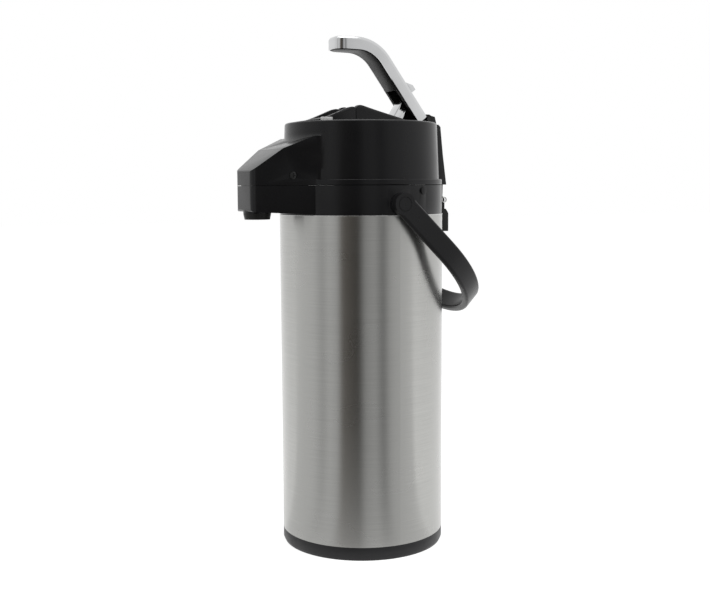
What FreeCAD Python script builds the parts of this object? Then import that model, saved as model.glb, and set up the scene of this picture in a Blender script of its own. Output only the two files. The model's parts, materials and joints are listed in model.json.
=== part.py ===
import FreeCAD, Part
import math
import os
import Sketcher
from FreeCAD import Vector

# Lever airpot, millimetres. +Z up, origin on the floor under the body's axis,
# spout towards -Y, lid hinge towards +Y.

SIZES = {
    # body
    "body_radius": 70.0,
    "ring_height": 11.5,
    "ring_draft": 1.4,
    "draft_height": 3.0,
    "ring_ledge": 12.0,
    "ring_spigot": 5.5,
    "plate_lift": 3.0,
    "plate_thickness": 2.5,
    "plate_margin": 4.4,
    "shell_wall": 0.7,
    "shell_height": 274.5,
    "fit_gap": 0.1,
    "side_gap": 0.3,
    "base_screw_count": 4,
    "base_screw_radius": 1.3,
    "base_screw_head": 2.8,
    "base_screw_depth": 7.0,
    "cushion_radius": 34.0,
    "cushion_height": 10.5,
    # vacuum flask
    "jacket_gap": 3.8,
    "flask_wall": 0.8,
    "vacuum_gap": 4.0,
    "flask_bevel": 9.5,
    "shoulder_drop": 24.0,
    "shoulder_rise": 16.0,
    "neck_radius": 33.7,
    "neck_vacuum": 2.9,
    "mouth_rise": 2.0,
    "seal_height": 2.5,
    # shoulder ring
    "collar_inset": 0.5,
    "collar_height": 24.0,
    "collar_wall": 2.5,
    "collar_spigot": 7.0,
    "deck_depth": 11.5,
    "skirt_drop": 3.0,
    "seam_gap": 0.3,
    # stem
    "stem_plate_height": 3.5,
    "tube_radius": 4.5,
    "tube_bore": 3.25,
    "tube_offset": 26.0,
    "tube_foot": 7.0,
    "pipe_rise": 9.7,
    "pipe_bend": 8.0,
    "air_hole": 5.0,
    # spout
    "spout_overhang": 37.6,
    "spout_tip_half": 18.0,
    "spout_root_half": 36.0,
    "spout_root_inset": 10.6,
    "spout_corner": 7.0,
    "spout_top_tip": 12.0,
    "spout_top_rise": 28.0,
    "spout_top_arch": 4.0,
    "spout_bottom_tip": 3.0,
    "spout_wall": 2.5,
    "spout_margin": 50.0,
    "spout_edge": 2.5,
    "nozzle_setback": 11.6,
    "nozzle_radius": 11.5,
    "nozzle_taper": 1.0,
    "nozzle_seam": 1.5,
    "nozzle_drop": 5.0,
    "nozzle_spigot": 7.6,
    "nozzle_seat": 5.0,
    "nozzle_shoulder": 4.0,
    "side_screw_radius": 3.0,
    "side_screw_setback": 31.6,
    "side_screw_rise": 8.0,
    "side_screw_stand": 0.8,
    # head
    "lip_height": 4.7,
    "head_inset": 2.5,
    "head_height": 52.2,
    "head_draft": 2.0,
    "head_wall": 2.5,
    "rim_round": 2.0,
    "lid_plate_height": 2.5,
    "post_radius": 5.5,
    "post_height": 20.0,
    "lid_screw_radius": 1.5,
    "lid_screw_head": 3.0,
    "lid_screw_depth": 14.0,
    "screw_head_height": 1.8,
    # pump
    "pump_offset": 12.0,
    "pump_radius": 31.0,
    "pump_wall": 2.0,
    "pump_floor_lift": 5.2,
    "pump_height": 44.0,
    "pump_flange": 5.0,
    "nose_radius": 10.0,
    "bellows_radius": 26.0,
    "bellows_fold": 5.0,
    "bellows_wall": 1.2,
    "bellows_folds": 4,
    "bellows_height": 32.0,
    "spring_radius": 11.0,
    "spring_wire": 0.9,
    "spring_turns": 5,
    "spring_sides": 12,
    "valve_radius": 7.0,
    "valve_height": 1.5,
    "pusher_thickness": 3.0,
    "yoke_offset": 8.0,
    "yoke_rise": 9.0,
    "yoke_radius": 5.0,
    "yoke_cheek": 2.6,
    "yoke_pin_radius": 2.0,
    # cover
    "cover_thickness": 3.5,
    "hump_half": 18.0,
    "channel_half": 13.6,
    "hump_front": 58.0,
    "hump_peak": 13.0,
    "hump_tail": 46.0,
    "hump_rise": 15.5,
    "tail_rise": 3.0,
    "cheek_round": 3.0,
    "link_slot_front": 8.0,
    "link_slot_back": 56.0,
    "dish_seam": 0.6,
    "dish_floor": 1.6,
    "dish_slope": 5.0,
    "rib_count": 9,
    "rib_width": 1.2,
    "rib_height": 0.8,
    # lock
    "lock_side": 1.5,
    "lock_width": 5.0,
    "lock_length": 9.0,
    "lock_height": 3.2,
    "lock_toe": 2.0,
    "lock_front": 47.0,
    "lock_travel": 5.0,
    # lever
    "pivot_inset": 9.5,
    "pivot_rise": 4.5,
    "lever_eye": 4.2,
    "lever_pin_radius": 1.8,
    "arm_angle": 51.8,
    "arm_length": 87.0,
    "pad_length": 48.5,
    "pad_angle": 1.5,
    "lever_half": 12.5,
    "lever_wall": 1.2,
    "lever_depth": 8.5,
    "lever_bend": 38.0,
    "lever_top": 1.0,
    "tip_round": 9.0,
    "link_pin_reach": 24.0,
    "link_pin_drop": 12.0,
    "link_pin_radius": 2.0,
    "core_cheek": 3.0,
    "core_length": 42.0,
    "core_start": 8.0,
    "link_half": 6.0,
    "link_eye": 3.9,
    "link_foot": 5.5,
    "link_play": 1.4,
    "knuckle_half": 7.5,
    "knuckle_radius": 4.5,
    "catch_station": 34.0,
    "catch_length": 12.0,
    "catch_height": 7.0,
    "catch_half": 5.0,
    "catch_wall": 1.6,
    # lid hinge
    "hinge_overhang": 5.0,
    "hinge_drop": 13.0,
    "hinge_eye": 3.2,
    "hinge_pin_radius": 1.0,
    "running_gap": 0.05,
    "hinge_half": 6.1,
    "hinge_ear": 3.4,
    "spine_half": 12.0,
    "spine_overhang": 8.6,
    "spine_slope": 6.2,
    "spine_clear": 0.7,
    "ring_pull": 2.2,
    "ring_wire": 0.55,
    "bracket_half": 12.0,
    "bracket_overhang": 12.0,
    "bracket_height": 16.7,
    "bracket_slope": 3.1,
    "bracket_screw_radius": 2.4,
    "bracket_screw_spread": 7.0,
    "bracket_screw_rise": 5.0,
    # bail
    "bail_drop": 15.0,
    "boss_radius": 9.0,
    "boss_stand": 2.4,
    "bail_thickness": 6.5,
    "bail_half": 9.0,
    "bail_straight": 55.0,
    "bail_angle": 44.0,
    "bail_edge": 2.2,
    "bail_pin_radius": 3.0,
    "bail_cap_radius": 5.5,
    "bail_cap_height": 2.0,
    "stud_radius": 3.2,
    "stud_angle": 20.0,
    "stud_drop": 4.5,
    "stud_stand": 1.2,
}

doc = FreeCAD.newDocument("airpot")
sheet = doc.addObject("Spreadsheet::Sheet", "sizes")
for row, (word, number) in enumerate(SIZES.items(), start=1):
    sheet.set(f"A{row}", word)
    sheet.set(f"B{row}", str(number))
    sheet.setAlias(f"B{row}", word)
doc.recompute()


class Size:
    """A number and the expression that works it out from the sheet."""

    def __init__(self, number, text):
        self.number = float(number)
        self.text = text

    def __add__(self, other):
        other = plain(other)
        return Size(self.number + other.number, f"({self.text} + {other.text})")

    def __sub__(self, other):
        other = plain(other)
        return Size(self.number - other.number, f"({self.text} - {other.text})")

    def __mul__(self, other):
        other = plain(other)
        return Size(self.number * other.number, f"({self.text} * {other.text})")

    def __truediv__(self, other):
        other = plain(other)
        return Size(self.number / other.number, f"({self.text} / {other.text})")

    def __neg__(self):
        return Size(-self.number, f"(0 - {self.text})")


def plain(value):
    return value if isinstance(value, Size) else Size(value, repr(float(value)))


def sine(angle):
    return Size(math.sin(math.radians(angle.number)), f"sin({angle.text})")


def cosine(angle):
    return Size(math.cos(math.radians(angle.number)), f"cos({angle.text})")


def tangent(angle):
    return Size(math.tan(math.radians(angle.number)), f"tan({angle.text})")


class Sheet:
    """Each cell of the sheet by its alias, as sheet values are read in code."""

    def __getattr__(self, word):
        return Size(sheet.get(word), f"sizes.{word}")


d = Sheet()
ZERO = plain(0)


# ---- ways of making a piece -------------------------------------------------

def start_body(name):
    body = doc.addObject("PartDesign::Body", name)
    body.Label = name
    return body


def draw(body, plane, loops, offset=None):
    """A sketch on one of the body's own planes; a loop is points or a circle."""
    sketch = body.newObject("Sketcher::SketchObject", f"{body.Name}_sketch")
    support = [item for item in body.Origin.OriginFeatures if item.Role == plane][0]
    sketch.AttachmentSupport = [(support, "")]
    sketch.MapMode = "FlatFace"
    if offset is not None:
        sketch.setExpression("AttachmentOffset.Base.z", offset.text)
    for loop in loops:
        if isinstance(loop, Circle):
            loop.add_to(sketch)
        else:
            add_polygon(sketch, loop)
    return sketch


def place_point(sketch, edge, end, across, up):
    """Hold a sketch point at its two distances from the origin."""
    for kind, size in (("DistanceX", across), ("DistanceY", up)):
        number = sketch.addConstraint(
            Sketcher.Constraint(kind, -1, 1, edge, end, size.number)
        )
        sketch.setExpression(f"Constraints[{number}]", size.text)


def add_polygon(sketch, points):
    points = [(plain(across), plain(up)) for across, up in points]
    first = len(sketch.Geometry)
    count = len(points)
    corners = [Vector(across.number, up.number, 0) for across, up in points]
    for index in range(count):
        line = Part.LineSegment(corners[index], corners[(index + 1) % count])
        sketch.addGeometry(line, False)
    for index in range(count):
        following = first + (index + 1) % count
        joint = Sketcher.Constraint("Coincident", first + index, 2, following, 1)
        sketch.addConstraint(joint)
    for index, (across, up) in enumerate(points):
        place_point(sketch, first + index, 1, across, up)


class Circle:
    def __init__(self, across, up, radius):
        self.across = plain(across)
        self.up = plain(up)
        self.radius = plain(radius)

    def add_to(self, sketch):
        centre = Vector(self.across.number, self.up.number, 0)
        curve = Part.Circle(centre, Vector(0, 0, 1), self.radius.number)
        edge = sketch.addGeometry(curve, False)
        place_point(sketch, edge, 3, self.across, self.up)
        held = Sketcher.Constraint("Radius", edge, self.radius.number)
        number = sketch.addConstraint(held)
        sketch.setExpression(f"Constraints[{number}]", self.radius.text)


def turned(name, points):
    """A piece turned about the body's axis from (radius, height) points."""
    body = start_body(name)
    sketch = draw(body, "XZ_Plane", [points])
    revolution = body.newObject("PartDesign::Revolution", f"{name}_turn")
    revolution.Profile = sketch
    revolution.ReferenceAxis = (sketch, ["V_Axis"])
    revolution.Angle = 360
    return body


def padded(name, plane, loops, low, high):
    """A flat outline given thickness from low to high along its plane's normal."""
    body = start_body(name)
    sketch = draw(body, plane, loops, plain(low))
    pad = body.newObject("PartDesign::Pad", f"{name}_pad")
    pad.Profile = sketch
    pad.setExpression("Length", (plain(high) - plain(low)).text)
    return body


def across(name, loops, half):
    """An outline in (y, z) padded to both sides of the middle plane."""
    return padded(name, "YZ_Plane", loops, -plain(half), half)


def rounded(body, radius, wanted):
    """Round the body's edges that the test picks."""
    doc.recompute()
    tip = body.Tip
    edges = [
        f"Edge{number}"
        for number, edge in enumerate(tip.Shape.Edges, start=1)
        if wanted(edge)
    ]
    fillet = body.newObject("PartDesign::Fillet", f"{body.Name}_round")
    fillet.Base = (tip, edges)
    fillet.setExpression("Radius", radius.text)
    doc.recompute()
    return body


def is_along(edge, axis):
    """True for a straight edge along the axis."""
    if edge.Curve.TypeId != "Part::GeomLine":
        return False
    return abs(edge.Curve.Direction.dot(axis)) > 0.999


def shifted(shape, dx=ZERO, dy=ZERO, dz=ZERO):
    for letter, size in (("x", dx), ("y", dy), ("z", dz)):
        shape.setExpression(f"Placement.Base.{letter}", plain(size).text)
    return shape


def rod(name, radius, low, high, axis, centre):
    """A cylinder along X, Y or Z from low to high, centred on two sizes."""
    shape = doc.addObject("Part::Cylinder", name)
    shape.Label = name
    low, high = plain(low), plain(high)
    shape.setExpression("Radius", plain(radius).text)
    shape.setExpression("Height", (high - low).text)
    first, second = plain(centre[0]), plain(centre[1])
    if axis == "X":
        shape.Placement.Rotation = FreeCAD.Rotation(Vector(0, 1, 0), 90)
        return shifted(shape, low, first, second)
    if axis == "Y":
        shape.Placement.Rotation = FreeCAD.Rotation(Vector(1, 0, 0), -90)
        return shifted(shape, first, low, second)
    return shifted(shape, first, second, low)


def block(name, low, high):
    """A box between two corners."""
    shape = doc.addObject("Part::Box", name)
    shape.Label = name
    low = [plain(size) for size in low]
    high = [plain(size) for size in high]
    for word, least, most in zip(("Length", "Width", "Height"), low, high):
        shape.setExpression(word, (most - least).text)
    return shifted(shape, *low)


def joined(name, shapes, refine=True):
    result = doc.addObject("Part::MultiFuse", name)
    result.Label = name
    result.Shapes = shapes
    result.Refine = refine
    return result


def shared(name, shapes):
    result = doc.addObject("Part::MultiCommon", name)
    result.Label = name
    result.Shapes = shapes
    return result


def cut(name, base, tools, refine=True):
    result = doc.addObject("Part::Cut", name)
    result.Label = name
    result.Base = base
    result.Tool = tools[0] if len(tools) == 1 else joined(f"{name}_tools", tools)
    result.Refine = refine
    return result


def group(name, shapes):
    """Identical pieces kept as separate solids of one node."""
    result = doc.addObject("Part::Compound", name)
    result.Label = name
    result.Links = shapes
    return result


def around(count, start=0.0):
    """Cosine and sine of evenly spaced angles."""
    steps = int(round(count.number))
    angles = [math.radians(start + 360.0 * step / steps) for step in range(steps)]
    return [(math.cos(angle), math.sin(angle)) for angle in angles]


# ---- base -------------------------------------------------------------------

shell_inner = d.body_radius - d.shell_wall
shell_top = d.ring_height + d.shell_height
ring_bore = d.body_radius - d.ring_ledge
plate_radius = d.body_radius - d.plate_margin
plate_top = d.plate_lift + d.plate_thickness
ring_top = d.ring_height + d.ring_spigot
spigot_radius = shell_inner - d.fit_gap
ring_recess = plate_radius + d.side_gap

base_ring_form = turned("base_ring_form", [
    (ring_recess, ZERO),
    (d.body_radius - d.ring_draft, ZERO),
    (d.body_radius, d.draft_height),
    (d.body_radius, d.ring_height),
    (spigot_radius, d.ring_height),
    (spigot_radius, ring_top),
    (ring_bore, ring_top),
    (ring_bore, plate_top),
    (ring_recess, plate_top),
])
screw_circle = (ring_bore + plate_radius) / 2
screw_places = [
    (screw_circle * c, screw_circle * s) for c, s in around(d.base_screw_count, 45.0)
]
pilot_holes = [
    rod(f"pilot_{number}", d.base_screw_radius + d.running_gap, plate_top - 1,
        plate_top + d.base_screw_depth + d.side_gap, "Z", place)
    for number, place in enumerate(screw_places)
]
base_ring = cut("base_ring", base_ring_form, pilot_holes)

plate_holes = [
    Circle(x, y, d.base_screw_radius + d.running_gap) for x, y in screw_places
]
base_plate = padded(
    "base_plate", "XY_Plane", [Circle(ZERO, ZERO, plate_radius)] + plate_holes,
    d.plate_lift, plate_top,
)
base_screw_list = []
for number, place in enumerate(screw_places):
    head = rod(f"base_head_{number}", d.base_screw_head,
               d.plate_lift - d.screw_head_height, d.plate_lift, "Z", place)
    shank = rod(f"base_shank_{number}", d.base_screw_radius,
                d.plate_lift - d.screw_head_height,
                plate_top + d.base_screw_depth, "Z", place)
    base_screw_list.append(joined(f"base_screw_{number}", [head, shank]))
base_screws = group("base_screws", base_screw_list)

outer_shell = turned("outer_shell", [
    (shell_inner, d.ring_height),
    (d.body_radius, d.ring_height),
    (d.body_radius, shell_top),
    (shell_inner, shell_top),
])

cushion_top = plate_top + d.cushion_height
flask_cushion = turned("flask_cushion", [
    (ZERO, plate_top),
    (d.cushion_radius, plate_top),
    (d.cushion_radius, cushion_top),
    (ZERO, cushion_top),
])


# ---- vacuum flask -----------------------------------------------------------

jacket_radius = shell_inner - d.jacket_gap
liner_radius = jacket_radius - d.vacuum_gap
neck_outer = d.neck_radius + d.flask_wall
jacket_neck = neck_outer + d.neck_vacuum + d.flask_wall
flask_mouth = shell_top + d.mouth_rise
rim_top = flask_mouth + d.flask_wall
jacket_shoulder = shell_top - d.shoulder_drop


def flask_wall_outline(bottom, radius, shoulder, neck, top):
    """Half section of a drawn cup with a bevelled foot and a necked shoulder."""
    wall = d.flask_wall
    slope_inset = wall * 0.5
    return [
        (ZERO, bottom),
        (radius - d.flask_bevel, bottom),
        (radius, bottom + d.flask_bevel),
        (radius, shoulder),
        (neck, shoulder + d.shoulder_rise),
        (neck, top),
        (neck - wall, top),
        (neck - wall, shoulder + d.shoulder_rise - slope_inset),
        (radius - wall, shoulder - slope_inset),
        (radius - wall, bottom + d.flask_bevel + slope_inset),
        (radius - d.flask_bevel - slope_inset, bottom + wall),
        (ZERO, bottom + wall),
    ]


vacuum_jacket = turned("vacuum_jacket", flask_wall_outline(
    cushion_top, jacket_radius, jacket_shoulder, jacket_neck, flask_mouth,
))
liner_bottom = cushion_top + d.vacuum_gap + d.flask_wall
liner_form = turned("liner_form", flask_wall_outline(
    liner_bottom, liner_radius, jacket_shoulder - d.vacuum_gap, neck_outer, rim_top,
))
liner_rim = turned("liner_rim", [
    (neck_outer - d.flask_wall / 2, flask_mouth),
    (jacket_neck, flask_mouth),
    (jacket_neck, rim_top),
    (neck_outer - d.flask_wall / 2, rim_top),
])
inner_liner = joined("inner_liner", [liner_form, liner_rim])

stem_base = rim_top + d.seal_height
stem_top = stem_base + d.stem_plate_height
neck_seal = turned("neck_seal", [
    (d.neck_radius, rim_top),
    (jacket_neck, rim_top),
    (jacket_neck, stem_base),
    (d.neck_radius, stem_base),
])


# ---- stem: plate, dip tube, discharge pipe ------------------------------------

stem_plate = padded(
    "stem_plate", "XY_Plane",
    [
        Circle(ZERO, ZERO, jacket_neck),
        Circle(ZERO, -d.tube_offset, d.tube_radius),
        Circle(ZERO, d.pump_offset, d.air_hole),
    ],
    stem_base, stem_top,
)
tube_bottom = liner_bottom + d.flask_wall + d.tube_foot
dip_tube = padded(
    "dip_tube", "XY_Plane",
    [
        Circle(ZERO, -d.tube_offset, d.tube_radius),
        Circle(ZERO, -d.tube_offset, d.tube_bore),
    ],
    tube_bottom, stem_top,
)

collar_radius = d.body_radius - d.collar_inset
spout_reach = d.body_radius + d.spout_overhang
spout_root = d.body_radius - d.spout_root_inset
seam = shell_top + d.collar_height
pipe_level = stem_top + d.pipe_rise
nozzle_place = spout_reach - d.nozzle_setback
spout_floor_tip = shell_top + d.spout_bottom_tip
pipe_end = spout_floor_tip + d.spout_wall - d.nozzle_shoulder


def pipe_route(body):
    """The pipe's middle line: up from the plate, forward, and down to the nozzle."""
    sketch = body.newObject("Sketcher::SketchObject", f"{body.Name}_route")
    plane = [item for item in body.Origin.OriginFeatures if item.Role == "YZ_Plane"]
    sketch.AttachmentSupport = [(plane[0], "")]
    sketch.MapMode = "FlatFace"
    near, far = -d.tube_offset, -nozzle_place
    bend = d.pipe_bend.number
    level = pipe_level.number
    first = Vector(near.number, stem_top.number, 0)
    last = Vector(far.number, pipe_end.number, 0)
    turns = [
        Vector(near.number, level - bend, 0), Vector(near.number - bend, level, 0),
        Vector(far.number + bend, level, 0), Vector(far.number, level - bend, 0),
    ]
    diagonal = bend * math.sqrt(0.5)
    middles = [
        Vector(near.number - bend + diagonal, level - bend + diagonal, 0),
        Vector(far.number + bend - diagonal, level - bend + diagonal, 0),
    ]
    sketch.addGeometry(Part.LineSegment(first, turns[0]), False)
    sketch.addGeometry(Part.Arc(turns[0], middles[0], turns[1]), False)
    sketch.addGeometry(Part.LineSegment(turns[1], turns[2]), False)
    sketch.addGeometry(Part.Arc(turns[2], middles[1], turns[3]), False)
    sketch.addGeometry(Part.LineSegment(turns[3], last), False)
    for line, arc, end, arc_end in ((0, 1, 2, 1), (2, 1, 1, 2), (2, 3, 2, 1), (4, 3, 1, 2)):
        sketch.addConstraint(Sketcher.Constraint("Tangent", line, end, arc, arc_end))
    sketch.addConstraint(Sketcher.Constraint("Vertical", 0))
    sketch.addConstraint(Sketcher.Constraint("Vertical", 4))
    for arc in (1, 3):
        number = sketch.addConstraint(Sketcher.Constraint("Radius", arc, bend))
        sketch.setExpression(f"Constraints[{number}]", d.pipe_bend.text)
    place_point(sketch, 0, 1, near, stem_top)
    place_point(sketch, 4, 2, far, pipe_end)
    number = sketch.addConstraint(Sketcher.Constraint("DistanceY", -1, 1, 2, 1, level))
    sketch.setExpression(f"Constraints[{number}]", pipe_level.text)
    return sketch


def bent_rod(name, radius):
    body = start_body(name)
    route = pipe_route(body)
    ring = draw(body, "XY_Plane", [Circle(ZERO, -d.tube_offset, radius)], stem_top)
    pipe = body.newObject("PartDesign::AdditivePipe", f"{name}_pipe")
    pipe.Profile = ring
    pipe.Spine = route
    return body


discharge_pipe = cut("discharge_pipe", bent_rod("pipe_outside", d.tube_radius), [
    bent_rod("pipe_inside", d.tube_bore),
])


# ---- spout form ----------------------------------------------------------------

def spout_form(name, inset):
    """The beak: a plan outline met by a side outline, drawn in by the inset."""
    inset = plain(inset)
    tip, root = spout_reach - inset, spout_root - 12
    tip_half = d.spout_tip_half - inset
    widen = (d.spout_root_half - d.spout_tip_half) / (spout_reach - spout_root)
    root_half = tip_half + widen * (tip - root)
    low, high = shell_top - 5, seam + d.spout_top_tip + d.spout_top_rise + 10
    plan = padded(
        f"{name}_plan", "XY_Plane",
        [[(-tip_half, -tip), (tip_half, -tip), (root_half, -root), (-root_half, -root)]],
        low, high,
    )
    rounded(
        plan, d.spout_corner - inset,
        lambda edge: is_along(edge, Vector(0, 0, 1))
        and edge.BoundBox.YMax < -tip.number + 0.01,
    )
    slope_start = seam + d.spout_top_tip - inset
    slope_end = slope_start + d.spout_top_rise
    middle = (spout_reach + spout_root) / 2
    floor_tip = spout_floor_tip + inset
    floor_root = shell_top + inset
    side = across(
        f"{name}_side",
        [[
            (-tip, floor_tip),
            (-root, floor_root),
            (-root, slope_end),
            (-spout_root, slope_end),
            (-middle, (slope_start + slope_end) / 2 + d.spout_top_arch),
            (-tip, slope_start),
        ]],
        root_half + 5,
    )
    if inset.number == 0:
        rounded(
            side, d.spout_edge,
            lambda edge: is_along(edge, Vector(1, 0, 0))
            and edge.BoundBox.YMax < -tip.number + 0.01,
        )
    return shared(name, [plan, side])


spout_outside = spout_form("spout_outside", 0)
spout_inside = spout_form("spout_inside", d.spout_wall)
far_side = spout_reach + d.spout_margin


def slab(name, low, high):
    """A wide slab for keeping what lies between two heights."""
    return block(name, (-far_side, -far_side, low), (far_side, far_side, high))


# ---- shoulder ring -------------------------------------------------------------

deck_top = seam - d.deck_depth
deck_bottom = deck_top - d.collar_wall
skirt_bore = jacket_neck + d.fit_gap + d.side_gap
skirt_radius = skirt_bore + d.collar_wall
collar_bore = collar_radius - d.collar_wall
skirt_bottom = shell_top - d.skirt_drop
spigot_bottom = shell_top - d.collar_spigot

collar_turned = turned("collar_turned", [
    (spigot_radius, spigot_bottom),
    (spigot_radius, shell_top),
    (collar_radius, shell_top),
    (collar_radius, seam),
    (collar_bore, seam),
    (collar_bore, deck_top),
    (skirt_bore, deck_top),
    (skirt_bore, skirt_bottom),
    (skirt_radius, skirt_bottom),
    (skirt_radius, deck_bottom),
    (spigot_radius - d.collar_wall, deck_bottom),
    (spigot_radius - d.collar_wall, spigot_bottom),
])
collar_inside = turned("collar_inside", [
    (ZERO, spigot_bottom),
    (collar_bore, spigot_bottom),
    (collar_bore, seam + 1),
    (ZERO, seam + 1),
])
lower_spout = cut(
    "lower_spout",
    shared("lower_spout_form", [spout_outside, slab("below_seam", shell_top, seam)]),
    [
        shared("lower_spout_hollow", [
            spout_inside, slab("below_seam_hollow", shell_top, seam + 1),
        ]),
        collar_inside,
    ],
)
bail_level = seam - d.bail_drop
boss_face = collar_radius + d.boss_stand
bosses = [
    rod("boss_right", d.boss_radius, collar_bore, boss_face, "X", (ZERO, bail_level)),
    rod("boss_left", d.boss_radius, -boss_face, -collar_bore, "X", (ZERO, bail_level)),
]
bail_bores = [
    rod("boss_bore_right", d.bail_pin_radius, collar_bore - 1, boss_face + 1, "X",
        (ZERO, bail_level)),
    rod("boss_bore_left", d.bail_pin_radius, -boss_face - 1, -collar_bore + 1, "X",
        (ZERO, bail_level)),
]


def side_stud(name, side):
    """A short round stud standing off the ring's side, behind the bail's pivot."""
    stud = doc.addObject("Part::Cylinder", name)
    stud.setExpression("Radius", d.stud_radius.text)
    stud.setExpression("Height", (d.collar_wall + d.stud_stand).text)
    turn = 90.0 - side * (90.0 - d.stud_angle.number)
    reach = collar_radius - d.collar_wall
    heading = FreeCAD.Rotation(Vector(0, 0, 1), turn)
    stud.Placement.Rotation = heading.multiply(FreeCAD.Rotation(Vector(0, 1, 0), 90))
    return shifted(
        stud, reach * cosine(d.stud_angle) * side, reach * sine(d.stud_angle),
        seam - d.stud_drop,
    )


pipe_slot = block(
    "pipe_slot",
    (-d.spout_tip_half + d.spout_wall, -collar_radius - 1, deck_top),
    (d.spout_tip_half - d.spout_wall, -skirt_bore, seam + 1),
)
nozzle_hole = rod(
    "nozzle_hole", d.nozzle_spigot + d.fit_gap, shell_top - 1, seam - d.deck_depth, "Z",
    (ZERO, -nozzle_place),
)
nozzle_top = shell_top + d.nozzle_seam
nozzle_pad = rod(
    "nozzle_pad", d.nozzle_radius, nozzle_top, spout_floor_tip + d.spout_wall, "Z",
    (ZERO, -nozzle_place),
)
shoulder_ring = cut(
    "shoulder_ring",
    joined("collar_and_spout", [
        collar_turned, lower_spout, *bosses, side_stud("stud_right", 1),
        side_stud("stud_left", -1),
        nozzle_pad,
    ]),
    [pipe_slot, nozzle_hole, *bail_bores],
    refine=False,
)

nozzle = shifted(turned("nozzle", [
    (d.tube_bore, nozzle_top - d.nozzle_drop),
    (d.nozzle_radius - d.nozzle_taper, nozzle_top - d.nozzle_drop),
    (d.nozzle_radius, nozzle_top),
    (d.nozzle_spigot, nozzle_top),
    (d.nozzle_spigot, nozzle_top + d.nozzle_seat),
    (d.tube_radius, nozzle_top + d.nozzle_seat),
    (d.tube_radius, pipe_end),
    (d.tube_bore, pipe_end),
]), ZERO, -nozzle_place, ZERO)


# ---- head shell ----------------------------------------------------------------

head_radius = collar_radius - d.head_inset
head_base = seam + d.seam_gap
lip_top = head_base + d.lip_height
rim = head_base + d.head_height
rim_radius = head_radius - d.head_draft
head_bore = head_radius - d.head_wall
rim_bore = rim_radius - d.head_wall

drum_form = turned("drum_form", [
    (ZERO, head_base),
    (collar_radius, head_base),
    (collar_radius, lip_top),
    (head_radius, lip_top),
    (rim_radius, rim),
    (ZERO, rim),
])
rounded(
    drum_form, d.rim_round,
    lambda edge: edge.BoundBox.ZMin > rim.number - 0.01 and edge.Curve.TypeId == "Part::GeomCircle",
)
drum_hollow = turned("drum_hollow", [
    (ZERO, head_base - 1),
    (head_bore, head_base - 1),
    (head_bore, lip_top),
    (rim_bore, rim),
    (rim_bore, rim + 1),
    (ZERO, rim + 1),
])
post_circle = head_bore - d.post_radius + d.head_wall / 2
post_places = [(post_circle * c, post_circle * s) for c, s in around(plain(4), 45.0)]
plate_seat = head_base + d.lid_plate_height
posts = [
    rod(f"post_{number}", d.post_radius, plate_seat, plate_seat + d.post_height, "Z", place)
    for number, place in enumerate(post_places)
]
post_bores = [
    rod(f"post_bore_{number}", d.lid_screw_radius + d.running_gap, plate_seat - 1,
        plate_seat + d.lid_screw_depth + d.side_gap, "Z", place)
    for number, place in enumerate(post_places)
]
upper_spout = cut(
    "upper_spout",
    shared("upper_spout_form", [
        spout_outside,
        slab("above_seam", head_base, seam + d.spout_top_tip + d.spout_top_rise + 5),
    ]),
    [drum_hollow],
)
upper_hollow = shared("upper_spout_hollow", [
    spout_inside,
    slab("above_seam_hollow", head_base - 1, seam + d.spout_top_tip + d.spout_top_rise),
])
drum_front_keep = cut(
    "spout_hollow_clear", upper_hollow,
    [turned("drum_keep", [
        (ZERO, head_base - 2),
        (head_radius - 0.2, head_base - 2),
        (rim_radius - 0.2, rim + 1),
        (ZERO, rim + 1),
    ])],
)
screw_setback = spout_reach - d.side_screw_setback
screw_level = head_base + d.side_screw_rise
widening = (d.spout_root_half - d.spout_tip_half) / (spout_reach - spout_root)
screw_face = d.spout_tip_half + widening * d.side_screw_setback
screw_bores = [
    rod("side_bore_right", d.side_screw_radius + d.running_gap, screw_face - 6,
        screw_face + 6, "X", (-screw_setback, screw_level)),
    rod("side_bore_left", d.side_screw_radius + d.running_gap, -screw_face - 6,
        -screw_face + 6, "X", (-screw_setback, screw_level)),
]
post_part = [cut(f"post_kept_{number}", post, [post_bores[number]])
             for number, post in enumerate(posts)]
head_shell = joined("head_shell", [
    cut("head_wall", joined("head_form", [drum_form, upper_spout]),
        [drum_hollow, drum_front_keep, *screw_bores]),
    *[shared(f"post_inside_{number}", [post, drum_form])
      for number, post in enumerate(post_part)],
])
side_screws = group("side_screws", [
    rod("side_screw_right", d.side_screw_radius, screw_face - 5,
        screw_face + d.side_screw_stand, "X", (-screw_setback, screw_level)),
    rod("side_screw_left", d.side_screw_radius, -screw_face - d.side_screw_stand,
        -screw_face + 5, "X", (-screw_setback, screw_level)),
])

lid_plate = padded(
    "lid_plate", "XY_Plane",
    [Circle(ZERO, ZERO, head_bore - d.fit_gap),
     Circle(ZERO, d.pump_offset, d.pump_radius + d.fit_gap)]
    + [Circle(x, y, d.lid_screw_radius + d.running_gap) for x, y in post_places],
    head_base, plate_seat,
)
lid_screw_list = []
for number, place in enumerate(post_places):
    head = rod(f"lid_head_{number}", d.lid_screw_head, head_base - d.screw_head_height,
               head_base, "Z", place)
    shank = rod(f"lid_shank_{number}", d.lid_screw_radius,
                head_base - d.screw_head_height, plate_seat + d.lid_screw_depth, "Z", place)
    lid_screw_list.append(joined(f"lid_screw_{number}", [head, shank]))
lid_screws = group("lid_screws", lid_screw_list)


# ---- pump ----------------------------------------------------------------------

pump_bottom = stem_top + d.pump_floor_lift
pump_floor = pump_bottom + d.pump_wall
pump_top = pump_bottom + d.pump_height
nose_bottom = stem_top + d.seal_height

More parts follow.
